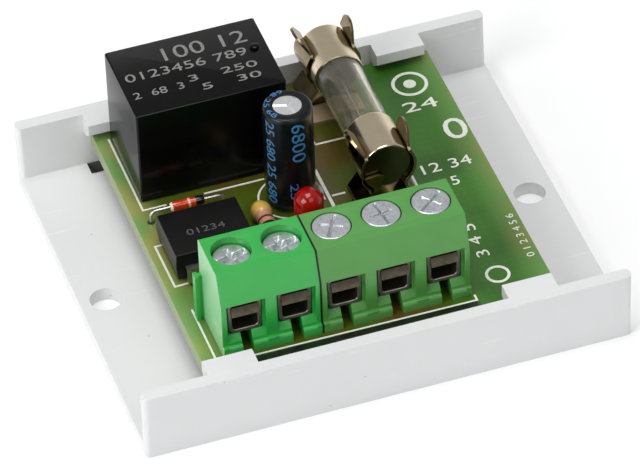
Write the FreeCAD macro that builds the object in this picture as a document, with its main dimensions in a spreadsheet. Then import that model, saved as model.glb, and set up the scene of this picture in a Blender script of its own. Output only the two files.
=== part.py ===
import FreeCAD, Part
import math
import os
import re
import Sketcher

# Relay module: an open tray that holds a circuit board with a relay, a fuse and screw terminals.
# Frame: the origin is the middle of the tray's underside, +X runs along the tray, +Y to its rear,
# +Z up. Sizes are in millimetres.

SIZES = {
    # tray
    "left_end": 7.5, "right_end": 6.4, "tray_floor": 1.5, "tray_wall": 1.35, "tray_height": 7.8,
    "wall_lean": 0.25, "end_round": 0.5, "screw_in": 2.65, "screw_hole": 3.2,
    "hook_left": 1.95, "hook_right": 3.35, "hook_length": 5.1, "hook_reach": 1.75, "hook_lip": 1.25,
    "hook_heel": 0.65, "ledge_height": 2.5, "ledge_width": 1.5, "ledge_length": 20.0,
    # circuit board
    "left_room": 1.42, "right_room": 8.33, "middle_room": 17.325, "front_room": 3.5, "fuse_room": 1.0,
    "board_thick": 1.6, "board_gap": 0.1, "hole_gap": 0.12, "lead_below": 1.1,
    # screw terminals
    "pole_width": 5.08, "block_left": 15.18, "block_gap": 0.05, "brow_lean": 1.15,
    "block_depth": 6.65, "block_height": 9.45, "block_brow": 6.05, "foot_out": 0.4, "foot_height": 1.1,
    "post_width": 1.1, "window_depth": 0.5, "rib_out": 0.8, "rib_root": 0.5, "rib_width": 0.9,
    "rib_height": 5.7, "rib_from_rear": 0.25, "groove_gap": 0.1,
    "clamp_low": 2.1, "clamp_width": 3.4, "clamp_height": 4.3, "clamp_wall": 0.4, "nut_thick": 0.9,
    "clamp_depth": 4.9, "clamp_corner": 0.85, "cavity_gap": 0.05, "pin_slot": 1.1, "post_pin": 1.0,
    "guard_thick": 0.4, "guard_flap": 1.3, "guard_gap": 0.1, "guard_rest": 4.6, "well_front": 4.05,
    "head_radius": 1.9, "head_height": 1.1, "head_gap": 0.1, "shank_radius": 1.2, "shank_gap": 0.05,
    "recess_width": 0.55, "recess_depth": 0.55, "screw_lowered": 0.8,
    # relay
    "relay_x": 8.05, "relay_room": 0.025, "relay_length": 15.6, "relay_width": 10.55, "relay_height": 11.2,
    "cover_wall": 0.6, "cover_top": 0.7, "cover_round": 0.25, "relay_foot": 0.15, "base_thick": 1.2,
    "relay_gap": 0.1, "core_height": 5.4, "core_radius": 1.2, "pole_radius": 2.1, "pole_thick": 0.6,
    "coil_radius": 3.0, "tube_radius": 1.6, "flange_half": 3.3, "flange_thick": 0.6,
    "yoke_thick": 1.0, "yoke_half": 3.2, "air_gap": 0.4, "armature_thick": 0.8, "armature_drop": 6.2,
    "contact_radius": 0.6, "contact_height": 2.45, "contact_travel": 0.4, "blade_thick": 0.2,
    "contact_room": 1.28,
    "relay_pin": 0.5, "pin_row": 7.62, "vent_radius": 0.45, "vent_height": 0.25, "vent_in": 1.3,
    "vent_rear": 0.85, "button_out": 0.45, "button_in": 0.15,
    "corner_factor": 0.7072, "corner_eight": 0.9239,
    # capacitor
    "cap_x": 1.65, "cap_y": 12.95, "cap_radius": 2.42, "cap_height": 11.5, "cap_foot": 0.5,
    "sleeve_thick": 0.1, "cap_window": 1.55, "cap_span": 2.0, "can_wall": 0.25, "bung_height": 1.5,
    "lead_radius": 0.25,
    # lamp
    "lamp_x": 1.5, "lamp_y": 7.6, "lamp_radius": 1.5, "lamp_height": 5.3, "lamp_flange": 0.25,
    "flange_height": 1.0, "lamp_span": 2.54, "lamp_lead": 0.5, "lamp_depth": 2.2,
    # resistor
    "res_x": 5.5, "res_y": 8.45, "res_length": 6.3, "res_bell": 1.05, "res_neck": 0.85,
    "res_span": 7.9, "res_lift": 1.2,
    # diode
    "diode_x": 12.0, "diode_y": 14.35, "diode_length": 3.5, "diode_radius": 0.8, "diode_span": 7.6,
    "diode_lift": 1.3, "lead_bend": 0.7,
    # bridge rectifier
    "bridge_x": 12.0, "bridge_y": 8.05, "bridge_length": 8.1, "bridge_width": 6.35, "bridge_thick": 3.2,
    "bridge_lift": 0.3, "bridge_draft": 5.0, "bridge_span": 5.1, "bridge_row": 7.62,
    "bridge_shoulder": 1.3, "bridge_lead": 0.6, "bridge_foil": 0.3, "bridge_corner": 0.35,
    # fuse and its clips
    "fuse_x": 7.1, "fuse_length": 20.0, "fuse_radius": 2.6, "fuse_height": 4.9,
    "fuse_cap": 5.4, "cap_skin": 0.15, "glass_radius": 2.4, "glass_wall": 0.5, "fuse_wire": 0.15,
    "clip_thick": 0.3, "clip_grip": 0.02, "clip_width": 4.0, "clip_tip": 3.0, "ear_flare": 0.15,
    "ear_start": 1.6, "clip_belly": 0.15, "belly_height": 4.0, "clip_waist": 1.75, "waist_height": 2.0,
    "clip_foot": 3.4, "foot_lap": 0.42, "stop_gap": 0.1, "stop_height": 4.3, "stop_in": 0.75,
    "stop_bevel": 0.35, "plate_length": 2.5, "clip_leg": 1.2, "leg_out": 2.5,
}

doc = FreeCAD.newDocument("relay_module")
sheet = doc.addObject("Spreadsheet::Sheet", "Sizes")
for row, (alias, value) in enumerate(SIZES.items(), start=1):
    sheet.set("A%d" % row, alias)
    sheet.set("B%d" % row, str(value))
    sheet.setAlias("B%d" % row, alias)
doc.recompute()

WORD = re.compile(r"[a-z][a-z_]*")


def bound(words):
    """The expression with each size name pointed at its cell."""
    return WORD.sub(lambda found: "Sizes." * (found.group() in SIZES) + found.group(), words)


def bind(thing, **sizes):
    """Tie each property of the thing to an expression of the named sizes."""
    for path, words in sizes.items():
        thing.setExpression(path.replace("__", "."), bound(words))
    return thing


def spot(thing, x="0", y="0", z="0"):
    """Place the thing's own origin at x, y, z."""
    return bind(thing, Placement__Base__x=x, Placement__Base__y=y, Placement__Base__z=z)


# Levels and places that several pieces share, as expressions of the named sizes.
BOARD_LOW = "(tray_floor + ledge_height)"
BOARD_TOP = "(tray_floor + ledge_height + board_thick)"
LEAD_END = "(board_thick + lead_below)"
# The board is as deep as the relay, the small parts and the terminals need, one behind the other.
WALL_FACE = "((hook_reach + relay_room + relay_width + middle_room + block_depth + foot_out + front_room" \
    " + board_gap) / 2)"
BOARD_EDGE = "(%s - board_gap)" % WALL_FACE
BLOCK_REAR = "(%s - front_room - foot_out - block_depth)" % BOARD_EDGE
WELL_IN = "(block_depth - well_front)"
RELAY_Y = "(%s - hook_reach - relay_room - relay_width / 2)" % WALL_FACE
BOARD_LEFT = "(block_left + rib_out + left_room)"
BOARD_RIGHT = "(5 * pole_width - block_gap - block_left + right_room)"
TRAY_LEFT = "(%s + left_end)" % BOARD_LEFT
TRAY_RIGHT = "(%s + right_end)" % BOARD_RIGHT
HOOKS = ("-(%s - hook_left)" % BOARD_LEFT, "(%s - hook_right)" % BOARD_RIGHT)
EIGHTH = 0.4142  # Half the side of an eight-sided outline, for each unit of its inner radius.
pieces = []
drilled = []


def keep(thing, node=None):
    """List a finished piece, to be written as parts/NODE.step."""
    thing.Label = node or thing.Name
    pieces.append(thing)
    return thing


def new_body(node, x="0", y="0", z="0"):
    """A body whose own origin stands at x, y, z."""
    return keep(spot(doc.addObject("PartDesign::Body", node), x, y, z))


def flat_on(body, role, level="0"):
    """An empty sketch on one of the body's own planes, moved along its normal by level."""
    sketch = body.newObject("Sketcher::SketchObject", "sketch")
    support = [item for item in body.Origin.OriginFeatures if item.Role == role][0]
    sketch.AttachmentSupport = [(support, "")]
    sketch.MapMode = "FlatFace"
    return bind(sketch, AttachmentOffset__Base__z=level)


def pin_down(sketch, edge, end, across, up):
    """Hold one point of an edge at two measured distances from the sketch's origin."""
    for kind, words in (("DistanceX", across), ("DistanceY", up)):
        index = sketch.addConstraint(Sketcher.Constraint(kind, -1, 1, edge, end, 1.0))
        sketch.setExpression("Constraints[%d]" % index, bound(words))


def draw_sides(sketch, corners):
    """A closed outline of straight sides through corners given as (across, up)."""
    count = len(corners)
    turns = [2 * math.pi * step / count for step in range(count + 1)]
    rough = [FreeCAD.Vector(math.cos(turn), math.sin(turn), 0) for turn in turns]
    edges = [sketch.addGeometry(Part.LineSegment(rough[step], rough[step + 1])) for step in range(count)]
    for step in range(count):
        following = edges[(step + 1) % count]
        sketch.addConstraint(Sketcher.Constraint("Coincident", edges[step], 2, following, 1))
        pin_down(sketch, edges[step], 1, *corners[step])
    return sketch


def draw_box(sketch, left, right, low, high):
    return draw_sides(sketch, [(left, low), (right, low), (right, high), (left, high)])


def draw_circle(sketch, across, up, radius):
    circle = Part.Circle(FreeCAD.Vector(0, 0, 0), FreeCAD.Vector(0, 0, 1), 1.0)
    edge = sketch.addGeometry(circle)
    pin_down(sketch, edge, 3, across, up)
    index = sketch.addConstraint(Sketcher.Constraint("Radius", edge, 1.0))
    sketch.setExpression("Constraints[%d]" % index, bound(radius))
    return sketch


def draw_eight(sketch, across, up, radius):
    """A small drilled hole, eight-sided to keep its faces few, with its flats at the radius."""
    flat, half = radius, "%s * %s" % (radius, EIGHTH)
    turns = [(flat, half), (half, flat), ("-" + half, flat), ("-" + flat, half), ("-" + flat, "-" + half),
             ("-" + half, "-" + flat), (half, "-" + flat), (flat, "-" + half)]
    corners = [("%s + %s" % (across, one), "%s + %s" % (up, other)) for one, other in turns]
    return draw_sides(sketch, corners)


def pad(body, sketch, length, backwards=False, both_ways=False):
    feature = body.newObject("PartDesign::Pad", "pad")
    feature.Profile = sketch
    feature.Reversed = backwards
    feature.SideType = "Symmetric" if both_ways else "One side"
    return bind(feature, Length=length)


def pocket(body, sketch, depth, backwards=False, both_ways=False):
    feature = body.newObject("PartDesign::Pocket", "pocket")
    feature.Profile = sketch
    feature.Reversed = backwards
    feature.SideType = "Symmetric" if both_ways else "One side"
    return bind(feature, Length=depth)


def turned(body, sketch, axis="V_Axis", cut=False):
    """A full turn of a profile about the sketch's own upright or level axis."""
    feature = body.newObject("PartDesign::Groove" if cut else "PartDesign::Revolution", "turned")
    feature.Profile = sketch
    feature.ReferenceAxis = (sketch, [axis])
    feature.Angle = 360
    return feature


def repeat(body, features, role, count, spacing):
    """The same features again along one of the body's axes."""
    pattern = body.newObject("PartDesign::LinearPattern", "repeat")
    pattern.Originals = features
    axis = [item for item in body.Origin.OriginFeatures if item.Role == role][0]
    pattern.Direction = (axis, [""])
    pattern.Mode = "Spacing"
    pattern.Occurrences = count
    bind(pattern, Offset=spacing)
    body.Tip = pattern
    return pattern


def round_edges(body, radius, wanted, kind="Fillet"):
    """Round or bevel the edges that the test picks out of the body's last feature."""
    doc.recompute()
    base = body.Tip
    names = ["Edge%d" % (number + 1) for number, edge in enumerate(base.Shape.Edges) if wanted(edge)]
    feature = body.newObject("PartDesign::" + kind, "rounded")
    feature.Base = (base, names)
    bind(feature, **({"Radius": radius} if kind == "Fillet" else {"Size": radius}))
    return feature


def runs_along(edge, direction):
    """True for a straight edge parallel to the direction."""
    if not isinstance(edge.Curve, Part.Line):
        return False
    return abs(abs(edge.Curve.Direction.dot(FreeCAD.Vector(*direction))) - 1) < 1e-6


def box(name, x, y, z, length, width, height):
    """A plain block from its lowest corner."""
    return spot(bind(doc.addObject("Part::Box", name), Length=length, Width=width, Height=height), x, y, z)


def rod(name, x, y, z, radius, height):
    return spot(bind(doc.addObject("Part::Cylinder", name), Radius=radius, Height=height), x, y, z)


def wire_rod(name, x, y, z, radius, height):
    """A straight run of thin wire, eight-sided to keep its faces few."""
    run = doc.addObject("Part::Prism", name)
    run.Polygon = 8
    return spot(bind(run, Circumradius=radius, Height=height), x, y, z)


def joined(name, *parts):
    fused = doc.addObject("Part::MultiFuse", name)
    fused.Shapes = list(parts)
    return fused


def drill(x, y, radius):
    """Ask for a hole in the board round a lead."""
    drilled.append((x, y, radius + " + hole_gap"))


# Tray: one moulding with a floor, a front and a rear wall and open ends.
# Snap hooks hold the board down on two ledges.
tray = new_body("mounting_tray")
wall_out = "(%s + tray_wall)" % WALL_FACE
lean_in = "(%s + wall_lean)" % WALL_FACE
lean_out = "(%s + wall_lean)" % wall_out
pad(tray, draw_sides(flat_on(tray, "YZ_Plane", "-" + TRAY_LEFT), [
    ("-" + wall_out, "0"), (wall_out, "0"), (lean_out, "tray_height"), (lean_in, "tray_height"),
    (WALL_FACE, "tray_floor"), ("-" + WALL_FACE, "tray_floor"), ("-" + lean_in, "tray_height"),
    ("-" + lean_out, "tray_height")]), "%s + %s" % (TRAY_LEFT, TRAY_RIGHT))
mid_height = (SIZES["tray_floor"] + SIZES["tray_height"]) / 2
round_edges(tray, "end_round", lambda edge: edge.BoundBox.XLength < SIZES["end_round"]
            and edge.BoundBox.ZMin < mid_height < edge.BoundBox.ZMax)
for side in ("-", ""):
    pad(tray, draw_sides(flat_on(tray, "YZ_Plane"), [
        (side + WALL_FACE, "tray_floor / 2"), (side + "(%s - ledge_width)" % WALL_FACE, "tray_floor / 2"),
        (side + "(%s - ledge_width)" % WALL_FACE, BOARD_LOW), (side + WALL_FACE, BOARD_LOW),
        (side + "(%s + tray_wall / 2)" % WALL_FACE, "tray_floor / 2")]), "ledge_length", both_ways=True)
    for at in HOOKS:
        pad(tray, draw_sides(flat_on(tray, "YZ_Plane", at + " - hook_length / 2"), [
            (side + "(%s + tray_wall / 2)" % WALL_FACE, BOARD_TOP + " + board_gap / 2"),
            (side + "(%s + tray_wall / 2)" % WALL_FACE, "tray_height"),
            (side + "(%s - hook_reach)" % WALL_FACE, "tray_height"),
            (side + "(%s - hook_reach)" % WALL_FACE, "tray_height - hook_lip"),
            (side + "(%s - hook_heel)" % WALL_FACE, BOARD_TOP + " + board_gap / 2")]), "hook_length")
slots = flat_on(tray, "XY_Plane")
for at in HOOKS:
    draw_box(slots, at + " - hook_length / 2", at + " + hook_length / 2",
             WALL_FACE + " - hook_reach", WALL_FACE)
    draw_box(slots, at + " - hook_length / 2", at + " + hook_length / 2",
             "-" + WALL_FACE, "-(%s - hook_reach)" % WALL_FACE)
for at in ("-(%s - screw_in)" % TRAY_LEFT, "%s - screw_in" % TRAY_RIGHT):
    draw_circle(slots, at, "0", "screw_hole / 2")
pocket(tray, slots, "tray_floor", backwards=True)


def clamp_pole(number, centre, lowered):
    """One pole's clamp: a sprung box with its solder pin, the wire guard in it and the screw on the guard.
    A screw that stands lowered in its well is shorter by as much."""
    frame = new_body("clamp_frame_%d" % number, centre, "-" + BLOCK_REAR, BOARD_TOP)
    front = "(block_depth - window_depth)"
    sketch = flat_on(frame, "XZ_Plane", front)
    draw_box(sketch, "-clamp_width / 2", "clamp_width / 2", "clamp_low", "clamp_low + clamp_height")
    pad(frame, sketch, "clamp_depth", backwards=True)
    round_edges(frame, "clamp_corner", lambda edge: runs_along(edge, (0, 1, 0))
                and edge.BoundBox.ZMax < SIZES["clamp_low"] + 0.1, "Chamfer")
    # Inside, the cut corners run parallel to the outer ones, one wall away.
    inside, floor, cut = "(clamp_width / 2 - clamp_wall)", "clamp_low + clamp_wall", \
        "(clamp_corner - clamp_wall * 0.586)"
    pocket(frame, draw_sides(flat_on(frame, "XZ_Plane", front), [
        ("-(%s - %s)" % (inside, cut), floor), ("%s - %s" % (inside, cut), floor),
        (inside, "%s + %s" % (floor, cut)), (inside, "clamp_low + clamp_height - nut_thick"),
        ("-" + inside, "clamp_low + clamp_height - nut_thick"), ("-" + inside, "%s + %s" % (floor, cut))]),
        "clamp_depth")
    sketch = flat_on(frame, "XY_Plane", "clamp_low + clamp_height")
    draw_box(sketch, "-" + inside, inside, "-" + front, "-(%s - 2 * guard_gap - guard_thick)" % front)
    pocket(frame, sketch, "nut_thick")
    sketch = flat_on(frame, "XY_Plane", "clamp_low + clamp_height")
    draw_eight(sketch, "0", "-" + WELL_IN, "(shank_radius + shank_gap)")
    pocket(frame, sketch, "nut_thick")
    sketch = flat_on(frame, "XY_Plane", "clamp_low + clamp_wall / 2")
    draw_box(sketch, "-post_pin / 2", "post_pin / 2", "-%s - post_pin / 2" % WELL_IN,
             "-%s + post_pin / 2" % WELL_IN)
    pad(frame, sketch, "clamp_low + clamp_wall / 2 + %s" % LEAD_END, backwards=True)
    drill(centre, "-(%s + %s)" % (BLOCK_REAR, WELL_IN), "post_pin * corner_factor")

    guard = new_body("wire_guard_%d" % number, centre, "-" + BLOCK_REAR, BOARD_TOP + " + guard_rest")
    back = "-(%s - clamp_depth + guard_gap)" % front
    rise = "-(%s - guard_gap - guard_thick)" % front
    pad(guard, draw_sides(flat_on(guard, "YZ_Plane"), [
        (back, "0"), (rise, "0"), ("-(%s - guard_gap / 2)" % front, "guard_thick"),
        ("-(%s - guard_gap / 2)" % front, "guard_flap"), (rise, "guard_flap"),
        (rise, "guard_thick"), (back, "guard_thick")]),
        "clamp_width - 2 * clamp_wall - 2 * guard_gap", both_ways=True)

    screw = new_body("terminal_screw_%d" % number, centre, "-(%s + %s)" % (BLOCK_REAR, WELL_IN),
                     "%s + block_height - %s" % (BOARD_TOP, lowered))
    tip = "-(block_height - %s - guard_rest - guard_thick - shank_gap)" % lowered
    turned(screw, draw_sides(flat_on(screw, "XZ_Plane"), [
        ("0", tip), ("shank_radius", tip), ("shank_radius", "-head_height"),
        ("head_radius", "-head_height"), ("head_radius", "0"), ("0", "0")]))
    cross = flat_on(screw, "XY_Plane")
    wide, slim = "head_radius * 0.66", "recess_width / 2"
    draw_sides(cross, [
        ("-" + slim, "-" + wide), (slim, "-" + wide), (slim, "-" + slim), (wide, "-" + slim), (wide, slim),
        (slim, slim), (slim, wide), ("-" + slim, wide), ("-" + slim, slim), ("-" + wide, slim),
        ("-" + wide, "-" + slim), ("-" + slim, "-" + slim)])
    pocket(screw, cross, "recess_depth")


def terminal_block(node, poles, left, first, lowered):
    """A moulded housing with one window, cavity and screw well for each pole."""
    block = new_body(node, left, "-" + BLOCK_REAR, BOARD_TOP)
    pad(block, draw_sides(flat_on(block, "YZ_Plane"), [
        ("0", "0"), ("0", "block_height"), ("-(block_depth - brow_lean)", "block_height"),
        ("-block_depth", "block_brow"), ("-block_depth", "foot_height"),
        ("-(block_depth + foot_out)", "foot_height"), ("-(block_depth + foot_out)", "0")]),
        "%d * pole_width - block_gap" % poles)
    front = "(block_depth - window_depth)"
    outside = "-(block_depth + foot_out + 1)"
    window = draw_sides(flat_on(block, "YZ_Plane", "post_width / 2"), [
        ("-" + front, "block_brow"), ("-" + front, "clamp_low"),
        ("-(block_depth + foot_out)", "foot_height * 0.7"), (outside, "foot_height * 0.7"),
        (outside, "block_brow")])
    opened = pocket(block, window, "pole_width - post_width", backwards=True)
    middle = "pole_width / 2"
    half = "(clamp_width / 2 + cavity_gap)"
    cavity = flat_on(block, "XZ_Plane", front)
    draw_box(cavity, "%s - %s" % (middle, half), "%s + %s" % (middle, half), "clamp_low - cavity_gap",
             "clamp_low + clamp_height + guard_gap * 2")
    hollow = pocket(block, cavity, "clamp_depth + cavity_gap")
    well = flat_on(block, "XY_Plane", "block_height")
    draw_circle(well, middle, "-" + WELL_IN, "head_radius + head_gap")
    sunk = pocket(block, well, "block_height - clamp_low - clamp_height")
    cleft = flat_on(block, "XY_Plane")
    draw_box(cleft, "%s - pin_slot / 2" % middle, "%s + pin_slot / 2" % middle, outside,
             "-(%s - post_pin / 2 - cavity_gap)" % WELL_IN)
    split = pocket(block, cleft, "clamp_low", backwards=True)
    repeat(block, [opened, hollow, sunk, split], "X_Axis", poles, "pole_width")
    root = "rib_from_rear + rib_width / 2"
    pad(block, draw_sides(flat_on(block, "XY_Plane"), [
        ("0.05 * rib_out", "-(%s - rib_root / 2)" % root), ("-rib_out / 2", "-(%s - rib_root / 2)" % root),
        ("-rib_out / 2", "-(%s - rib_width / 2)" % root), ("-rib_out", "-(%s - rib_width / 2)" % root),
        ("-rib_out", "-(%s + rib_width / 2)" % root), ("-rib_out / 2", "-(%s + rib_width / 2)" % root),
        ("-rib_out / 2", "-(%s + rib_root / 2)" % root),
        ("0.05 * rib_out", "-(%s + rib_root / 2)" % root)]), "rib_height")
    if first == 1:
        side = "%d * pole_width - block_gap" % poles
        gap = "groove_gap"
        groove = flat_on(block, "XY_Plane")
        draw_sides(groove, [
            (side + " + 1", "-(%s - rib_root / 2 - %s)" % (root, gap)),
            (side + " - rib_out / 2 + " + gap, "-(%s - rib_root / 2 - %s)" % (root, gap)),
            (side + " - rib_out / 2 + " + gap, "-(%s - rib_width / 2 - %s)" % (root, gap)),
            (side + " - rib_out - " + gap, "-(%s - rib_width / 2 - %s)" % (root, gap)),
            (side + " - rib_out - " + gap, "-(%s + rib_width / 2 + %s)" % (root, gap)),
            (side + " - rib_out / 2 + " + gap, "-(%s + rib_width / 2 + %s)" % (root, gap)),
            (side + " - rib_out / 2 + " + gap, "-(%s + rib_root / 2 + %s)" % (root, gap)),
            (side + " + 1", "-(%s + rib_root / 2 + %s)" % (root, gap))])
        pocket(block, groove, "rib_height + " + gap, backwards=True)
    for pole in range(poles):
        clamp_pole(first + pole, "%s + %s * pole_width" % (left, pole + 0.5), lowered)


terminal_block("terminal_housing_supply", 2, "-block_left", 1, "screw_lowered")
terminal_block("terminal_housing_switch", 3, "(2 * pole_width - block_left)", 3, "0")


def in_relay(node):
    """A body with its origin on the board, under the middle of the relay."""
    return new_body(node, "-relay_x", RELAY_Y, BOARD_TOP)


# Relay, left to right: yoke back, spool with its coil, pole face, armature, moving and fixed contacts.
BACK = "-(relay_length / 2 - cover_wall - 2 * relay_gap)"
SPOOL = "(%s + yoke_thick)" % BACK
# The spool takes what the cover leaves once the yoke, the armature and the contacts have their room.
SPOOL_LENGTH = "(relay_length - 2 * cover_wall - 2.2 * relay_gap - yoke_thick - pole_thick - air_gap" \
    " - armature_thick - 2 * button_out - blade_thick - contact_room)"
FLANGE_END = "(%s + %s)" % (SPOOL, SPOOL_LENGTH)
POLE_FACE = "(%s + pole_thick)" % FLANGE_END
ARM_IN = "(%s + air_gap)" % POLE_FACE
ARM_OUT = "(%s + armature_thick)" % ARM_IN
LEG_LOW = "(core_height + flange_half + 2 * relay_gap)"
LEG_TOP = "(%s + yoke_thick)" % LEG_LOW
PIVOT = "(%s + yoke_thick / 2)" % LEG_LOW
BASE_TOP = "(relay_foot + base_thick)"
BUTTON_IN = "(%s - button_in)" % ARM_OUT
BUTTON_OUT = "(%s + button_out)" % ARM_OUT
OPEN_FACE = "(%s - contact_travel)" % BUTTON_IN
CLOSED_FACE = "(%s + relay_gap / 5)" % BUTTON_OUT
OPEN_BACK = "(%s - button_out)" % OPEN_FACE
CLOSED_BACK = "(%s + button_out)" % CLOSED_FACE
ROW = "(pin_row / 2)"

cover = in_relay("relay_cover")
pad(cover, draw_box(flat_on(cover, "XY_Plane", "relay_foot"), "-relay_length / 2", "relay_length / 2",
                    "-relay_width / 2", "relay_width / 2"), "relay_height - relay_foot")
round_edges(cover, "cover_round", lambda edge: edge.BoundBox.ZMax > SIZES["relay_height"] / 2, "Chamfer")
inside_long, inside_wide = "(relay_length / 2 - cover_wall)", "(relay_width / 2 - cover_wall)"
pocket(cover, draw_box(flat_on(cover, "XY_Plane", "relay_foot"), "-" + inside_long, inside_long,
                       "-" + inside_wide, inside_wide),
       "relay_height - relay_foot - cover_top", backwards=True)
pad(cover, draw_circle(flat_on(cover, "XY_Plane", "relay_height - cover_top / 2"),
                       "relay_length / 2 - vent_in", "vent_rear", "vent_radius"),
    "cover_top / 2 + vent_height")

relay_pins = {
    "coil_front": ("(%s + relay_pin)" % SPOOL, "-" + ROW), "coil_rear": ("(%s + relay_pin)" % SPOOL, ROW),
    "common": ("(%s + yoke_thick / 2)" % BACK, "0"),
    "open": ("(%s - blade_thick / 2)" % OPEN_BACK, "-" + ROW),
    "closed": ("(%s + blade_thick / 2)" % CLOSED_BACK, ROW)}
base = in_relay("relay_base")
pad(base, draw_box(flat_on(base, "XY_Plane", "relay_foot"), "-(%s - relay_gap / 2)" % inside_long,
                   "%s - relay_gap / 2" % inside_long, "-(%s - relay_gap / 2)" % inside_wide,
                   "%s - relay_gap / 2" % inside_wide), "base_thick")
holes = flat_on(base, "XY_Plane", "relay_foot")
for across, up in relay_pins.values():
    half = "(relay_pin / 2 + relay_gap / 4)"
    draw_box(holes, "%s - %s" % (across, half), "%s + %s" % (across, half),
             "%s - %s" % (up, half), "%s + %s" % (up, half))
    drill("-relay_x + " + across, "%s + %s" % (RELAY_Y, up), "relay_pin * corner_factor")
pocket(base, holes, "base_thick", backwards=True)

spool = in_relay("relay_bobbin")
for end in (SPOOL, "(%s - flange_thick)" % FLANGE_END):
    pad(spool, draw_box(flat_on(spool, "YZ_Plane", end), "-flange_half", "flange_half",
                        "core_height - flange_half", "core_height + flange_half"), "flange_thick")
pad(spool, draw_circle(flat_on(spool, "YZ_Plane", SPOOL), "0", "core_height", "tube_radius"), SPOOL_LENGTH)
pocket(spool, draw_circle(flat_on(spool, "YZ_Plane", SPOOL), "0", "core_height",
                          "core_radius + relay_gap / 2"), SPOOL_LENGTH, backwards=True)

coil = in_relay("relay_coil")
winding = flat_on(coil, "YZ_Plane", SPOOL + " + flange_thick")
draw_circle(winding, "0", "core_height", "coil_radius")
draw_circle(winding, "0", "core_height", "tube_radius + relay_gap / 5")
pad(coil, winding, SPOOL_LENGTH + " - 2 * flange_thick")

core = in_relay("relay_core")
pad(core, draw_circle(flat_on(core, "YZ_Plane", SPOOL), "0", "core_height", "core_radius"), SPOOL_LENGTH)
pad(core, draw_circle(flat_on(core, "YZ_Plane", FLANGE_END), "0", "core_height", "pole_radius"),
    "pole_thick")

yoke = in_relay("relay_yoke")
foot = "(%s + 4 * relay_gap)" % BASE_TOP
pad(yoke, draw_sides(flat_on(yoke, "XZ_Plane"), [
    (BACK, foot), (SPOOL, foot), (SPOOL, LEG_LOW), (ARM_IN + " - relay_gap / 2", LEG_LOW),
    (ARM_IN + " - relay_gap / 2", LEG_TOP), (BACK, LEG_TOP)]), "2 * yoke_half", both_ways=True)

armature = in_relay("relay_armature")
pad(armature, draw_box(flat_on(armature, "XZ_Plane"), ARM_IN, ARM_OUT, PIVOT + " - armature_drop",
                       LEG_TOP + " - relay_gap"), "2 * yoke_half", both_ways=True)

blade = in_relay("relay_moving_contact")
pad(blade, draw_box(flat_on(blade, "XZ_Plane"), ARM_OUT, ARM_OUT + " + blade_thick",
                    "contact_height - contact_radius", LEG_LOW), "contact_radius * 4", both_ways=True)
pad(blade, draw_circle(flat_on(blade, "YZ_Plane", BUTTON_IN), "0", "contact_height", "contact_radius"),
    "%s - %s" % (BUTTON_OUT, BUTTON_IN))

spring = in_relay("relay_return_spring")
clear = "(%s + blade_thick + relay_gap)" % ARM_OUT
hang = LEG_LOW + " - 1.5 * yoke_thick"
pad(spring, draw_sides(flat_on(spring, "XZ_Plane"), [
    (SPOOL, LEG_TOP), (clear, LEG_TOP), (clear, hang), (clear + " + blade_thick", hang),
    (clear + " + blade_thick", LEG_TOP + " + blade_thick"), (SPOOL, LEG_TOP + " + blade_thick")]),
    "yoke_half", both_ways=True)

for name, side, start, face in (("open", "-", "(%s - blade_thick)" % OPEN_BACK, OPEN_BACK),
                                ("closed", "", CLOSED_BACK, CLOSED_FACE)):
    contact = in_relay("relay_contact_" + name)
    outer, inner = side + "(%s + relay_pin / 2)" % ROW, side + "(%s - relay_pin / 2)" % ROW
    far, near = side + "contact_radius", ("" if side else "-") + "contact_radius"
    shelf = BASE_TOP + " + 3 * relay_gap"
    pad(contact, draw_sides(flat_on(contact, "YZ_Plane", start), [
        (outer, "-" + LEAD_END), (outer, shelf), (far, shelf),
        (far, "contact_height + contact_radius"), (near, "contact_height + contact_radius"),
        (near, BASE_TOP), (inner, BASE_TOP), (inner, "-" + LEAD_END)]), "blade_thick")
    pad(contact, draw_circle(flat_on(contact, "YZ_Plane", face), "0", "contact_height", "contact_radius"),
        "button_out")


def square_pin(name, across, up, top):
    return box(name, "-relay_x + %s - relay_pin / 2" % across, "%s + %s - relay_pin / 2" % (RELAY_Y, up),
               "%s - %s" % (BOARD_TOP, LEAD_END), "relay_pin", "relay_pin", "%s + %s" % (LEAD_END, top))


coil_pins = doc.addObject("Part::Compound", "relay_coil_pins")
coil_pins.Links = [square_pin("coil_pin", *relay_pins[name], BASE_TOP + " + 1")
                   for name in ("coil_front", "coil_rear")]
keep(coil_pins)
keep(square_pin("relay_common_pin", *relay_pins["common"], foot))

# The small parts stand between the relay and the terminals, each measured off the terminals' rear.
CAP_Y = "(cap_y - %s)" % BLOCK_REAR
LAMP_Y = "(lamp_y - %s)" % BLOCK_REAR
RES_Y = "(res_y - %s)" % BLOCK_REAR
DIODE_Y = "(diode_y - %s)" % BLOCK_REAR
BRIDGE_Y = "(bridge_y - %s)" % BLOCK_REAR

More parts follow.
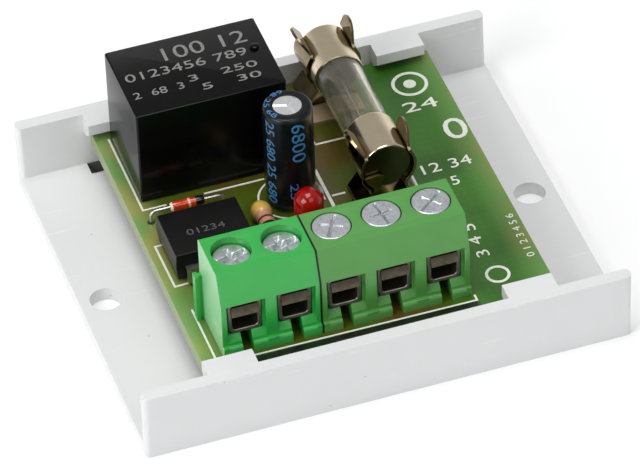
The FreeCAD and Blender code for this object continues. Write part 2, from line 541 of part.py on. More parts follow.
# Smoothing capacitor: an aluminium can in a printed sleeve, closed by a rubber bung with two leads.
CAP_TOP = "(cap_foot + cap_height)"
can = new_body("capacitor_can", "-cap_x", CAP_Y, BOARD_TOP)
turned(can, draw_sides(flat_on(can, "XZ_Plane"), [
    ("0", CAP_TOP), ("cap_radius - can_wall", CAP_TOP), ("cap_radius", CAP_TOP + " - can_wall"),
    ("cap_radius", "cap_foot"), ("cap_radius - can_wall", "cap_foot"),
    ("cap_radius - can_wall", CAP_TOP + " - can_wall * 1.5"), ("0", CAP_TOP + " - can_wall * 1.5")]))
sleeve = new_body("capacitor_sleeve", "-cap_x", CAP_Y, BOARD_TOP)
around = "(cap_radius + sleeve_thick)"
turned(sleeve, draw_sides(flat_on(sleeve, "XZ_Plane"), [
    ("cap_window", CAP_TOP), ("cap_window", CAP_TOP + " + sleeve_thick"),
    (around + " - can_wall", CAP_TOP + " + sleeve_thick"), (around, CAP_TOP + " + sleeve_thick - can_wall"),
    (around, "cap_foot"), ("cap_radius", "cap_foot"),
    ("cap_radius", CAP_TOP + " - can_wall"), ("cap_radius - can_wall", CAP_TOP)]))
bung = new_body("capacitor_bung", "-cap_x", CAP_Y, BOARD_TOP)
plug = flat_on(bung, "XY_Plane", "cap_foot")
draw_circle(plug, "0", "0", "cap_radius - can_wall")
for side in ("-", ""):
    draw_eight(plug, "0", side + "cap_span / 2", "(lead_radius + hole_gap / 4)")
    drill("-cap_x", "%s + %scap_span / 2" % (CAP_Y, side), "lead_radius")
pad(bung, plug, "bung_height")
keep(rod("capacitor_winding", "-cap_x", CAP_Y, BOARD_TOP + " + cap_foot + bung_height",
         "cap_radius - can_wall - sleeve_thick",
         "cap_height - bung_height - can_wall * 1.5 - sleeve_thick"))
cap_leads = doc.addObject("Part::Compound", "capacitor_leads")
cap_leads.Links = [wire_rod("cap_lead", "-cap_x", "%s + %scap_span / 2" % (CAP_Y, side),
                            "%s - %s" % (BOARD_TOP, LEAD_END), "lead_radius",
                            LEAD_END + " + cap_foot + bung_height") for side in ("-", "")]
keep(cap_leads)

# Signal lamp: a cast red lens with a rim, over two square leads that stand inside it.
lens = new_body("lamp_lens", "-lamp_x", LAMP_Y, BOARD_TOP)
turned(lens, draw_sides(flat_on(lens, "XZ_Plane"), [
    ("0", "0"), ("lamp_radius + lamp_flange", "0"), ("lamp_radius + lamp_flange", "flange_height"),
    ("lamp_radius", "flange_height"),
    *[("lamp_radius * %.4f" % math.cos(math.radians(rise)),
       "lamp_height - lamp_radius * %.4f" % (1 - math.sin(math.radians(rise))))
      for rise in (0, 25, 49, 71)],
    ("0", "lamp_height")]))
lamp_leads = doc.addObject("Part::Compound", "lamp_leads")
lamp_pair = []
for side, extra in (("-", "0"), ("", "lamp_radius / 4")):
    across = side + "lamp_span / 2"
    depth = "lamp_depth + " + extra
    seat = draw_box(flat_on(lens, "XY_Plane"), across + " - lamp_lead / 2", across + " + lamp_lead / 2",
                    "-lamp_lead / 2", "lamp_lead / 2")
    pocket(lens, seat, depth, backwards=True)
    lamp_pair.append(box("lamp_lead", "-lamp_x + %s - lamp_lead / 2" % across, LAMP_Y + " - lamp_lead / 2",
                         "%s - %s" % (BOARD_TOP, LEAD_END), "lamp_lead", "lamp_lead",
                         "%s + %s" % (LEAD_END, depth)))
    drill("-lamp_x + " + across, LAMP_Y, "lamp_lead * corner_factor")
lamp_leads.Links = lamp_pair
keep(lamp_leads)


def bent_leads(node, centre_x, centre_y, turn, start, span, lift, radius="lead_radius"):
    """Two wires that leave a part level, bend down and pass through the board, one at each end."""
    pair = []
    for flip in (0, 180):
        knee = "(%s / 2 - lead_bend)" % span
        level = wire_rod("level", start, "0", lift, radius, "%s - %s" % (knee, start))
        level.Placement.Rotation = FreeCAD.Rotation(FreeCAD.Vector(0, 1, 0), 90)
        ring = bind(doc.addObject("Part::RegularPolygon", "ring"), Circumradius=radius)
        ring.Polygon = 8
        ring.Placement.Rotation = level.Placement.Rotation
        spot(ring, knee, "0", lift)
        bend = doc.addObject("Part::Revolution", "bend")
        bend.Source = ring
        bend.Axis = FreeCAD.Vector(0, 1, 0)
        bend.Angle = 90
        bend.Solid = True
        bind(bend, Base__x=knee, Base__z=lift + " - lead_bend")
        down = wire_rod("down", span + " / 2", "0", "-" + LEAD_END, radius,
                        "%s + %s - lead_bend" % (LEAD_END, lift))
        wire = joined("wire", level, bend, down)
        wire.Placement.Rotation = FreeCAD.Rotation(FreeCAD.Vector(0, 0, 1), turn + flip)
        pair.append(spot(wire, centre_x, centre_y, BOARD_TOP))
        angle = math.radians(turn + flip)
        drill("%s + %d * %s / 2" % (centre_x, round(math.cos(angle)), span),
              "%s + %d * %s / 2" % (centre_y, round(math.sin(angle)), span), radius)
    both = doc.addObject("Part::Compound", node)
    both.Links = pair
    return keep(both)


# Lamp resistor: a coated ceramic rod with a bell at each end, lying along Y.
resistor = new_body("resistor_body", "-res_x", RES_Y, BOARD_TOP + " + res_lift")
end, bell, neck = "res_length / 2", "(res_length / 2 - res_bell * 0.6)", "(res_length * 0.2)"
turned(resistor, draw_sides(flat_on(resistor, "XY_Plane"), [
    ("0", "-" + end), ("res_bell * 0.62", "-" + end), ("res_bell", "-" + bell), ("res_neck", "-" + neck),
    ("res_neck", neck), ("res_bell", bell), ("res_bell * 0.62", end), ("0", end)]))
bent_leads("resistor_leads", "-res_x", RES_Y, 90, "(res_length / 2)", "res_span", "res_lift")

# Flyback diode: a glass bead on two bent wires, lying along X in front of the relay.
diode = new_body("diode_body", "-diode_x", DIODE_Y, BOARD_TOP + " + diode_lift")
half = "diode_length / 2"
turned(diode, draw_sides(flat_on(diode, "XY_Plane"), [
    ("-" + half, "0"), ("-" + half, "diode_radius * 0.75"),
    ("-(%s - diode_radius * 0.3)" % half, "diode_radius"),
    ("%s - diode_radius * 0.3" % half, "diode_radius"), (half, "diode_radius * 0.75"), (half, "0")]),
    "H_Axis")
bent_leads("diode_leads", "-diode_x", DIODE_Y, 0, "(diode_length / 2)", "diode_span", "diode_lift")

# Bridge rectifier: a moulded block with drafted sides and one cut corner, on four flat leads.
MID = "(bridge_lift + bridge_thick / 2)"
bridge = new_body("rectifier_body", "-bridge_x", BRIDGE_Y, BOARD_TOP)
for backwards in (False, True):
    outline = draw_sides(flat_on(bridge, "XY_Plane", MID), [
        ("-bridge_length / 2", "-bridge_width / 2"), ("bridge_length / 2", "-bridge_width / 2"),
        ("bridge_length / 2", "bridge_width / 2 - bridge_corner"),
        ("bridge_length / 2 - bridge_corner", "bridge_width / 2"),
        ("-bridge_length / 2", "bridge_width / 2")])
    bind(pad(bridge, outline, "bridge_thick / 2", backwards=backwards), TaperAngle="-bridge_draft")
bridge_leads = doc.addObject("Part::Compound", "rectifier_leads")
four = []
for side in ("-", ""):
    for front in (True, False):
        x = "-bridge_x + %sbridge_span / 2" % side
        y = BRIDGE_Y + (" - bridge_row / 2 - bridge_foil / 2" if front else " + bridge_width / 2")
        out = "(bridge_row / 2 - bridge_width / 2 + bridge_foil / 2)"
        toe = "%s %s bridge_row / 2 - bridge_foil / 2" % (BRIDGE_Y, "-" if front else "+")
        arm = box("arm", x + " - bridge_shoulder / 2", y, "%s + %s - bridge_foil / 2" % (BOARD_TOP, MID),
                  "bridge_shoulder", out, "bridge_foil")
        knee = box("knee", x + " - bridge_shoulder / 2", toe, BOARD_TOP + " + bridge_lift",
                   "bridge_shoulder", "bridge_foil", "%s - bridge_lift" % MID)
        leg = box("leg", x + " - bridge_lead / 2", toe, "%s - %s" % (BOARD_TOP, LEAD_END),
                  "bridge_lead", "bridge_foil", "%s + bridge_lift + bridge_foil" % LEAD_END)
        four.append(joined("lead", arm, knee, leg))
        drill(x, "%s %s bridge_row / 2" % (BRIDGE_Y, "-" if front else "+"), "bridge_lead / 2")
bridge_leads.Links = four
keep(bridge_leads)

# Fuse: a glass tube with two plated caps and a thin wire between them, lying along Y.
AXIS = BOARD_TOP + " + fuse_height"
FUSE_REAR = "(%s - fuse_room)" % WALL_FACE
FUSE_FRONT = "(%s - fuse_length)" % FUSE_REAR


def in_fuse(node):
    """A body with its origin at the front end of the fuse, on its centre line."""
    return new_body(node, "fuse_x", FUSE_FRONT, AXIS)


tube = in_fuse("fuse_tube")
ends = ("cap_skin * 2", "fuse_length - cap_skin * 2")
turned(tube, draw_box(flat_on(tube, "XY_Plane"), "glass_radius - glass_wall", "glass_radius", *ends))
for node, outer, inner, mouth in (
        ("fuse_cap_front", "0", "cap_skin", "fuse_cap"),
        ("fuse_cap_rear", "fuse_length", "fuse_length - cap_skin", "fuse_length - fuse_cap")):
    cap = in_fuse(node)
    turned(cap, draw_sides(flat_on(cap, "XY_Plane"), [
        ("0", outer), ("fuse_radius - cap_skin", outer), ("fuse_radius", inner), ("fuse_radius", mouth),
        ("fuse_radius - cap_skin", mouth), ("fuse_radius - cap_skin", inner), ("0", inner)]))
strand = in_fuse("fuse_wire")
pad(strand, draw_eight(flat_on(strand, "XZ_Plane", "-cap_skin"), "0", "0", "fuse_wire"),
    "fuse_length - 2 * cap_skin", backwards=True)


def fuse_clip(node, middle, rotation, tongue):
    """A clip bent from sprung strip: splayed feet, a waist, two ears on the cap, an end stop and legs.
    Its origin is on the board, under the end of the fuse, with the fuse towards +Y."""
    clip = new_body(node, "fuse_x", middle, BOARD_TOP)
    clip.Placement.Rotation = FreeCAD.Rotation(FreeCAD.Vector(0, 0, 1), rotation)
    start = "(stop_gap + clip_thick)"
    grip = "(fuse_radius + clip_grip)"
    inner = [("clip_foot - foot_lap", "clip_thick"), ("clip_waist", "waist_height"),
             (grip + " + clip_belly", "belly_height"), (grip, "fuse_height"),
             (grip, "fuse_height + ear_start"),
             (grip + " + ear_flare", "fuse_height + clip_tip")]
    outer = [("clip_foot", "0"), ("clip_waist + clip_thick", "waist_height"),
             (grip + " + clip_belly + clip_thick", "belly_height"),
             (grip + " + clip_thick", "fuse_height"),
             (grip + " + clip_thick", "fuse_height + ear_start"),
             (grip + " + ear_flare + clip_thick", "fuse_height + clip_tip")]
    left = [("-(%s)" % across, up) for across, up in inner + outer[::-1]]
    pad(clip, draw_sides(flat_on(clip, "XZ_Plane", start), inner[::-1] + left + outer), "clip_width",
        backwards=True)
    tip = SIZES["fuse_height"] + SIZES["clip_tip"] - 0.01
    round_edges(clip, "clip_width / 4", lambda edge: runs_along(edge, (1, 0, 0))
                and edge.BoundBox.ZMin > tip)
    pad(clip, draw_sides(flat_on(clip, "XZ_Plane", start), [
        ("-(clip_waist + clip_thick / 2)", "waist_height"),
        ("-(%s + clip_belly + clip_thick / 2)" % grip, "belly_height"),
        ("-(%s + clip_thick / 2)" % grip, "stop_height"),
        ("-(stop_in + stop_bevel)", "stop_height"), ("-stop_in", "stop_height - stop_bevel"),
        ("-stop_in", "waist_height")]), "clip_thick", backwards=True)
    if tongue:
        plate = flat_on(clip, "XY_Plane")
        draw_box(plate, "-clip_foot", "clip_foot", "clip_width - %s" % start,
                 "clip_width - %s + plate_length" % start)
        pad(clip, plate, "clip_thick")
    legs = flat_on(clip, "XY_Plane", "clip_thick / 2")
    leg_y = "(clip_width / 2 - %s)" % start
    for side in ("-", ""):
        draw_box(legs, side + "leg_out - clip_thick / 2", side + "leg_out + clip_thick / 2",
                 leg_y + " - clip_leg / 2", leg_y + " + clip_leg / 2")
        drill("fuse_x + %sleg_out" % side,
              "%s %s %s" % (middle, "-" if rotation else "+", leg_y), "clip_leg / 2")
    pad(clip, legs, "clip_thick / 2 + " + LEAD_END, backwards=True)


fuse_clip("fuse_clip_front", FUSE_FRONT, 0, False)
fuse_clip("fuse_clip_rear", FUSE_REAR, 180, True)

# Circuit board, with a hole round every lead.
plate = box("board_plate", "-" + BOARD_LEFT, "-" + BOARD_EDGE, BOARD_LOW,
            "%s + %s" % (BOARD_LEFT, BOARD_RIGHT), "2 * " + BOARD_EDGE, "board_thick")
holes = doc.addObject("Part::Compound", "board_holes")
holes.Links = [wire_rod("hole", x, y, BOARD_LOW + " - hole_gap", "(%s) / corner_eight" % radius,
                        "board_thick + 2 * hole_gap") for x, y, radius in drilled]
board = doc.addObject("Part::Cut", "circuit_board")
board.Base = plate
board.Tool = holes
keep(board)

doc.recompute()
for thing in doc.Objects:
    if {"Invalid", "Error"} & set(thing.State):
        raise RuntimeError("%s failed" % thing.Name)
for piece in pieces:
    if piece.Shape.isNull() or not piece.Shape.isValid():
        raise RuntimeError("%s has no valid shape" % piece.Label)
os.makedirs("parts", exist_ok=True)
for piece in pieces:
    piece.Shape.exportStep("parts/%s.step" % piece.Label)
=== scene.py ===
import math

import bpy
import numpy as np
from mathutils import Matrix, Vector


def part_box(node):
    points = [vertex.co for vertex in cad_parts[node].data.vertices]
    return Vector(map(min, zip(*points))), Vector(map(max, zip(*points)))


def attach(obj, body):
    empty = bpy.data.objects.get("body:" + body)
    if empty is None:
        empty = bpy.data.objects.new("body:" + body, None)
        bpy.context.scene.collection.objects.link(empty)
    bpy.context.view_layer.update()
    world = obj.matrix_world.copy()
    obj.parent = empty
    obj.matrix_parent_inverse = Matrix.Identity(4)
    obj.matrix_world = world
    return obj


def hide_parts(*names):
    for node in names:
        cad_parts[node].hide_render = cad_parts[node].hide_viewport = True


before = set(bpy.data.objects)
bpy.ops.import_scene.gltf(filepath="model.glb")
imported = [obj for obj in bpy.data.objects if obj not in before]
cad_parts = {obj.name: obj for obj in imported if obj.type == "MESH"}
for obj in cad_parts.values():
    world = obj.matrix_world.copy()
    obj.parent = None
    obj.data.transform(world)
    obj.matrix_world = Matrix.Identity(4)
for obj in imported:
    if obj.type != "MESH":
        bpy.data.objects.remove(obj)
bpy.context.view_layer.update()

MM = 0.001  # Sizes below are in millimetres, and Blender works in metres.

# Tray. One injection moulding in white ABS: a floor, two leaning walls, snap hooks and screw holes.
# The mould left a fine satin grain, and handling has left hairline scratches and a few specks.


def linear(code):
    """An sRGB hex colour as linear red, green, blue and an opaque alpha."""
    parts = np.array([int(code[start:start + 2], 16) for start in (0, 2, 4)]) / 255
    return (*np.where(parts <= 0.04045, parts / 12.92, ((parts + 0.055) / 1.055) ** 2.4), 1.0)


def add_node(beside, kind, *inputs, gives=0, **named):
    """Add a node to another one's tree and return the output that gives names. Its inputs come in order or
    by name, each a value, a hex colour or a socket, and a name in small letters is one of its settings."""
    tree = beside.id_data
    node = tree.nodes.new(kind)
    for key, value in [*enumerate(inputs), *named.items()]:
        if str(key).islower():
            setattr(node, key, value)
            continue
        socket = node.inputs[key if isinstance(key, int) else key.replace("_", " ")]
        if isinstance(value, bpy.types.NodeSocket):
            tree.links.new(value, socket)
        else:
            socket.default_value = linear(value) if isinstance(value, str) else value
    return node.outputs[gives]


def new_finish(name, **uniform):
    """A Principled material with its uniform values set, its shader and its object coordinates."""
    material = bpy.data.materials.new(name)
    material.use_nodes = True
    shader = material.node_tree.nodes["Principled BSDF"]
    for key, value in uniform.items():
        shader.inputs[key.replace("_", " ")].default_value = value
    return material, shader, add_node(shader, "ShaderNodeTexCoord", gives="Object")


def per_mm(size):
    """The scale of a pattern whose features are about this many millimetres across."""
    return 1 / (size * MM)


def feed(shader, **sockets):
    """Link sockets to the inputs of a shader that they are named for."""
    for key, socket in sockets.items():
        shader.id_data.links.new(socket, shader.inputs[key.replace("_", " ")])


# Shows the flat facets of a CAD round as smooth, and keeps every edge sharper than 30 degrees.
smoothing = bpy.data.node_groups.new("smooth rounds", "GeometryNodeTree")
smoothing.interface.new_socket("Geometry", in_out="INPUT", socket_type="NodeSocketGeometry")
smoothing.interface.new_socket("Geometry", in_out="OUTPUT", socket_type="NodeSocketGeometry")
way_in = add_node(smoothing, "NodeGroupInput")
edge_angle = add_node(smoothing, "GeometryNodeInputMeshEdgeAngle", gives="Unsigned Angle")
sharper = add_node(smoothing, "FunctionNodeCompare", A=edge_angle, B=math.radians(30))
all_smooth = add_node(smoothing, "GeometryNodeSetShadeSmooth", way_in)
sharp_edges = add_node(smoothing, "GeometryNodeSetShadeSmooth", all_smooth, Selection=sharper,
                       Shade_Smooth=False, domain="EDGE")
smoothing.links.new(sharp_edges, smoothing.nodes.new("NodeGroupOutput").inputs[0])


def round_edges(piece, width, angle=40):
    """Round every edge of a piece that is sharper than the angle in degrees, by a width in millimetres."""
    edges = piece.modifiers.new("rounded edges", "BEVEL")
    edges.width, edges.segments = width * MM, 2
    edges.limit_method, edges.angle_limit = "ANGLE", math.radians(angle)


WELD = 0.001 * MM  # Points nearer than this are one.


def dress(material, rounding, *nodes):
    """Give CAD nodes their finish, weld their triangles and round their edges where a width is given."""
    for node in nodes:
        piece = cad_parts[node]
        piece.data.materials.clear()
        piece.data.materials.append(material)
        piece.modifiers.new("weld", "WELD").merge_threshold = WELD
        if rounding:
            round_edges(piece, rounding, 30)
        piece.modifiers.new("smooth rounds", "NODES").node_group = smoothing
        piece.modifiers.new("weighted normals", "WEIGHTED_NORMAL").keep_sharp = True


# The grain gives the white plastic a soft satin sheen.
abs_white, shader, place = new_finish("Injection-moulded ABS, white", IOR=1.54)
flow = add_node(shader, "ShaderNodeTexNoise", Vector=place, Scale=per_mm(9))
paint = add_node(shader, "ShaderNodeMixRGB", flow, "d9dada", "dfdfe0")
# Hairlines: noise stretched along the tray, cut off so that only its ridges stay.
drawn = add_node(shader, "ShaderNodeMapping", place, Rotation=(0.0, 0.0, 0.6), Scale=(0.12, 1.6, 1.0))
hair = add_node(shader, "ShaderNodeTexNoise", Vector=drawn, Scale=per_mm(0.9), Detail=3.0)
scratch = add_node(shader, "ShaderNodeMapRange", hair, 0.66, 0.7, 0.0, 0.2)
paint = add_node(shader, "ShaderNodeMixRGB", scratch, paint, "f6f6f6")
# Specks: dark grains about 0.15 mm across in cells of 2.5 mm.
cells = add_node(shader, "ShaderNodeTexVoronoi", Vector=place, Scale=per_mm(2.5))
speck = add_node(shader, "ShaderNodeMapRange", cells, 0.03, 0.06, 0.4, 0.0)
paint = add_node(shader, "ShaderNodeMixRGB", speck, paint, "77776f")
# Painted shade: the inner faces of the slots under the hooks are painted near-black, as the deep shade in
# them: below the floor's top, 18.5 to 20.3 mm off the middle and less than 20 mm from it along the tray.
slot_shade = 0.85
for axis, start, end in (("Z", 1.5, 1.44), ("Y", 18.5, 18.6), ("Y", 20.37, 20.3), ("X", 20.2, 20.0)):
    along = add_node(shader, "ShaderNodeSeparateXYZ", place, gives=axis)
    either_way = add_node(shader, "ShaderNodeMath", along, operation="ABSOLUTE")
    within = add_node(shader, "ShaderNodeMapRange", either_way, start * MM, end * MM)
    slot_shade = add_node(shader, "ShaderNodeMath", within, slot_shade, operation="MULTIPLY")
# Moulding grain of 0.12 mm, drawn a little coarser than the real one so that it shows.
grain = add_node(shader, "ShaderNodeTexNoise", Vector=place, Scale=per_mm(0.12))
feed(shader, Base_Color=add_node(shader, "ShaderNodeMixRGB", slot_shade, paint, "0a0a0a"),
     Roughness=add_node(shader, "ShaderNodeMapRange", grain, 0.0, 1.0, 0.36, 0.52),
     Normal=add_node(shader, "ShaderNodeBump", Height=grain, Strength=0.25, Distance=0.02 * MM))
dress(abs_white, 0.12, "mounting_tray")

# Circuit board. Glass-cloth epoxy laminate with a clear green solder mask, sawn from a larger panel.
# Copper and the tan laminate shine through the mask in soft patches, and the sawn edge is bare and pale.
# The mask lies over all of it like a thin varnish, with a wet gloss.
mask_green, shader, place = new_finish("Solder mask over glass epoxy laminate", IOR=1.5, Coat_Weight=0.4,
                                       Coat_Roughness=0.08)
clouds = add_node(shader, "ShaderNodeTexNoise", Vector=place, Scale=per_mm(6), Detail=1.5, Roughness=0.45)
patch = add_node(shader, "ShaderNodeMapRange", clouds, 0.45, 0.62)
along = add_node(shader, "ShaderNodeSeparateXYZ", place, gives="X")
across = add_node(shader, "ShaderNodeSeparateXYZ", place, gives="Y")
# From the relay's end to the fuse the tan laminate shows through, and beyond the fuse copper backs the mask.
open_mask = add_node(shader, "ShaderNodeMixRGB", patch, "46560e", "524412")
backed_mask = add_node(shader, "ShaderNodeMixRGB", patch, "336c10", "2a5c0e")
backed = add_node(shader, "ShaderNodeMapRange", along, 7 * MM, 10.5 * MM)
mask = add_node(shader, "ShaderNodeMixRGB", backed, open_mask, backed_mask)
# Painted light: over the last 3 mm at the sawn ends the mask is painted a lit yellow-green, as the glow of
# light that enters there.
glow_left = add_node(shader, "ShaderNodeMapRange", along, -14 * MM, -17.4 * MM)
glow_right = add_node(shader, "ShaderNodeMapRange", along, 15.5 * MM, 18.5 * MM, 0.0, 0.6)
glow = add_node(shader, "ShaderNodeMath", glow_left, glow_right, operation="ADD")
lit_mask = add_node(shader, "ShaderNodeMixRGB", patch, "749f56", "9ca25a")
mask = add_node(shader, "ShaderNodeMixRGB", glow, mask, lit_mask)
# Painted shade: in front of the terminals the mask is painted near-black, as the shade that lies there.
shade = add_node(shader, "ShaderNodeMapRange", across, -17.1 * MM, -17.4 * MM)
for start, end in ((-14, -13), (10.7, 10.3)):
    within = add_node(shader, "ShaderNodeMapRange", along, start * MM, end * MM)
    shade = add_node(shader, "ShaderNodeMath", shade, within, operation="MULTIPLY")
mask = add_node(shader, "ShaderNodeMixRGB", shade, mask, "0c1408")
# The glass cloth's threads, 0.45 mm apart, cross under the mask.
threads = [add_node(shader, "ShaderNodeTexWave", Vector=place, Scale=per_mm(0.45) / math.tau,
                    bands_direction=axis, gives="Fac") for axis in "XY"]
cloth = add_node(shader, "ShaderNodeMath", *threads, operation="MULTIPLY")
pale_thread = add_node(shader, "ShaderNodeMapRange", cloth, 0.0, 1.0, 0.0, 0.02)
mask = add_node(shader, "ShaderNodeMixRGB", pale_thread, mask, "a8b060")
# The faces that stand upright are the sawn edge: bare, pale and matt.
facing = add_node(shader, "ShaderNodeNewGeometry", gives="Normal")
upward = add_node(shader, "ShaderNodeSeparateXYZ", facing, gives="Z")
level = add_node(shader, "ShaderNodeMath", upward, operation="ABSOLUTE")
feed(shader, Base_Color=add_node(shader, "ShaderNodeMixRGB", level, "8f9a72", mask),
     Roughness=add_node(shader, "ShaderNodeMapRange", level, 0.0, 1.0, 0.75, 0.28),
     Normal=add_node(shader, "ShaderNodeBump", Height=cloth, Strength=0.04, Distance=0.02 * MM))
dress(mask_green, 0.05, "circuit_board")

# Printed outlines. White epoxy ink, silk-screened on the cured mask: lines about 0.2 mm wide round the
# places of the parts, four rings and plain figures.


def shell(name, *grids, around=True, ends=True, loop=False, sharp=35):
    """One mesh over grids of points in mm: rows run along a piece and columns round it, each four
    neighbours make a quad, columns close on themselves, and each end row is closed by one flat face."""
    points, faces, start = [], [], 0
    for grid in grids:
        rows, columns = grid.shape[:2]
        index = start + np.arange(rows * columns).reshape(rows, columns)
        rim_low, rim_high = index[0], index[-1]
        index = np.hstack([index, index[:, :1]]) if around else index
        index = np.vstack([index, index[:1]]) if loop else index
        quads = np.stack([index[:-1, :-1], index[:-1, 1:], index[1:, 1:], index[1:, :-1]], -1)
        faces += quads.reshape(-1, 4).tolist()
        if ends and not loop:
            faces += [rim_low[::-1].tolist(), rim_high.tolist()]
        points.append(grid.reshape(-1, 3))
        start += rows * columns
    mesh = bpy.data.meshes.new(name)
    mesh.from_pydata(np.concatenate(points) * MM, [], faces)
    mesh.polygons.foreach_set("use_smooth", np.ones(len(mesh.polygons), bool))
    mesh.set_sharp_from_angle(angle=math.radians(sharp))
    piece = bpy.data.objects.new(name, mesh)
    bpy.context.scene.collection.objects.link(piece)
    return piece


def place_piece(piece, material, body="base"):
    """Give a new piece its finish and the body that carries it."""
    piece.data.materials.append(material)
    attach(piece, body)


def strip(corners, width, low, high, loop=False):
    """A flat strip along a line: each corner is moved half the width to both sides, along the mitre of
    its two sides, at a lower and an upper level."""
    line = np.array(corners, float)
    before = np.roll(line, 1, 0) if loop else np.vstack([2 * line[0] - line[1], line[:-1]])
    after = np.roll(line, -1, 0) if loop else np.vstack([line[1:], 2 * line[-1] - line[-2]])
    one = (line - before) / np.linalg.norm(line - before, axis=1)[:, None]
    two = (after - line) / np.linalg.norm(after - line, axis=1)[:, None]
    mitre = np.stack([-(one + two)[:, 1], (one + two)[:, 0]], 1)
    mitre /= np.linalg.norm(mitre, axis=1)[:, None]
    cosine = np.abs(mitre[:, 1] * one[:, 0] - mitre[:, 0] * one[:, 1])
    side = mitre * (width / 2 / np.maximum(cosine, 0.4))[:, None]
    flat = np.stack([line - side, line + side, line + side, line - side], 1)
    height = np.array([low, low, high, high])[None, :, None] * np.ones((len(line), 1, 1))
    return np.concatenate([flat, height], 2)


def box_of(x, y, low, high, wide, deep):
    """A rectangular bar about x, y from a low to a high level, as two rims of four corners."""
    rim = np.array([(-1, -1), (1, -1), (1, 1), (-1, 1)]) * (wide / 2, deep / 2) + (x, y)
    return np.stack([np.column_stack([rim, np.full(4, level)]) for level in (low, high)])


def mottled(name, size, detail, light, dark, rough=None, **uniform):
    """A finish whose colour, and roughness where a range is given, change with one noise of a size in mm;
    returns the material, its shader, its object coordinates and the noise."""
    material, shader, place = new_finish(name, **uniform)
    cloud = add_node(shader, "ShaderNodeTexNoise", Vector=place, Scale=per_mm(size), Detail=detail)
    feed(shader, Base_Color=add_node(shader, "ShaderNodeMixRGB", cloud, light, dark))
    if rough:
        feed(shader, Roughness=add_node(shader, "ShaderNodeMapRange", cloud, 0.0, 1.0, *rough))
    return material, shader, place, cloud


# Screened ink dries matt and a little broken, so its white is uneven.
ink_white, shader, place, worn = mottled("Epoxy marking ink, white", 0.3, 3.0, "f4f4ee", "d4d8c8", IOR=1.5,
                                         Roughness=0.5)
feed(shader, Normal=add_node(shader, "ShaderNodeBump", Height=worn, Strength=0.3, Distance=0.01 * MM))
INK = 0.03  # The height of print and marks.
board_low, board_top = np.array(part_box("circuit_board"))[:, 2] / MM
outlines = [
    ([(-16.05, 18.3), (-16.05, 6.75), (-13.6, 6.75)], 0.2), ([(-9.6, 7.0), (-3.3, 7.0)], 0.22),
    ([(-15.3, 1.22), (-16.55, 1.2), (-16.5, -5.07), (-14.95, -5.03)], 0.22),
    ([(-15.97, -8.8), (-15.97, -17.05), (10.45, -17.3), (10.45, -16.5)], 0.2),
    ([(1.87, 6.5), (1.87, 0.56)], 0.34), ([(1.4, 4.6), (1.4, 1.9)], 0.16), ([(3.1, 10.1), (6.5, 10.1)], 0.25),
    ([(2.2, 2.2), (3.6, 2.2)], 0.25), ([(10.6, 2.2), (10.6, 0.3)], 0.25), ([(3.1, 10.1), (3.1, 15.2)], 0.25)]
print_lines = shell("printed_outlines", *[strip(line, width, board_top, board_top + INK)
                                          for line, width in outlines])
place_piece(print_lines, ink_white)
turn = np.linspace(0, 2 * np.pi, 60, endpoint=False)
circle = np.stack([np.cos(turn), np.sin(turn)], 1)
for name, at, radius, width in (("capacitor", (-1.7, 3.5), 3.2, 0.2), ("target", (15.1, 15.6), 1.7, 0.35),
                                ("target_dot", (15.1, 15.6), 0.35, 0.6), ("mark", (13.6, -14.5), 1.1, 0.3)):
    ring = strip(circle * radius + at, width, board_top, board_top + INK, loop=True)
    place_piece(shell("printed_ring_" + name, ring, loop=True), ink_white)


def set_figures(name, words, length, high):
    """Figures set as type and turned into a mesh, scaled to a length and a height in mm from zero and to
    the height of print; returns the piece and its points."""
    curve = bpy.data.curves.new(name, "FONT")
    curve.body, curve.resolution_u, curve.extrude = words, 3, 0.5
    type_set = bpy.data.objects.new(name, curve)
    mesh = bpy.data.meshes.new_from_object(type_set)
    bpy.data.objects.remove(type_set)
    points = np.empty(len(mesh.vertices) * 3)
    mesh.vertices.foreach_get("co", points)
    points = points.reshape(-1, 3)
    points = (points - points.min(0)) / np.ptp(points, axis=0) * (length, high, INK)
    piece = bpy.data.objects.new(name, mesh)
    piece.modifiers.new("weld", "WELD").merge_threshold = WELD
    bpy.context.scene.collection.objects.link(piece)
    return piece, points


def move_points(piece, points):
    """Give a mesh its points in millimetres."""
    piece.data.vertices.foreach_set("co", (points * MM).ravel())
    piece.data.update()
    return piece


def lay_figures(name, words, length, high, at, turned_by=0):
    """Figures laid flat on a face: turned about the vertical and moved to their first corner."""
    piece, points = set_figures(name, words, length, high)
    cosine, sine = math.cos(math.radians(turned_by)), math.sin(math.radians(turned_by))
    return move_points(piece, points @ np.array([[cosine, sine, 0], [-sine, cosine, 0], [0, 0, 1]]) + at)


for name, words, length, high, x, y, turned_by in (
        ("two", "24", 3.6, 1.5, 13.2, 11.4, 0), ("zero", "0", 2.4, 3.2, 15.9, 5.9, 0),
        ("one", "12 34", 5.2, 1.4, 11.8, 1.9, 0), ("five", "5", 0.8, 1.3, 14.0, -0.6, 0),
        ("row", "3 4 5", 5.0, 1.3, 13.9, -11.6, 90), ("small", "0 1 2 3 4 5 6", 6.6, 0.8, 18.0, -13.2, 90)):
    printed = lay_figures("printed_" + name, words, length, high, (x, y, board_top), turned_by)
    place_piece(printed, ink_white)

# Solder joints under the board. Each lead is soldered by hand with tin solder, in a small cone that wets
# the wire and the pad round it.


def turned(profile, centre, axis="z", count=64):
    """A profile of (radius, height) carried once round an axis: radius times the cosine and the sine of
    the angle across the axis, and the height along it."""
    angle = np.linspace(0, 2 * np.pi, count, endpoint=False)
    radius, height = np.array(profile, float).T[:, :, None]
    ring = [radius * np.cos(angle), radius * np.sin(angle), height + 0 * angle]
    first = {"z": 0, "x": 2, "y": 1}[axis]
    return np.stack(ring[first:] + ring[:first], -1) + np.array(centre, float)


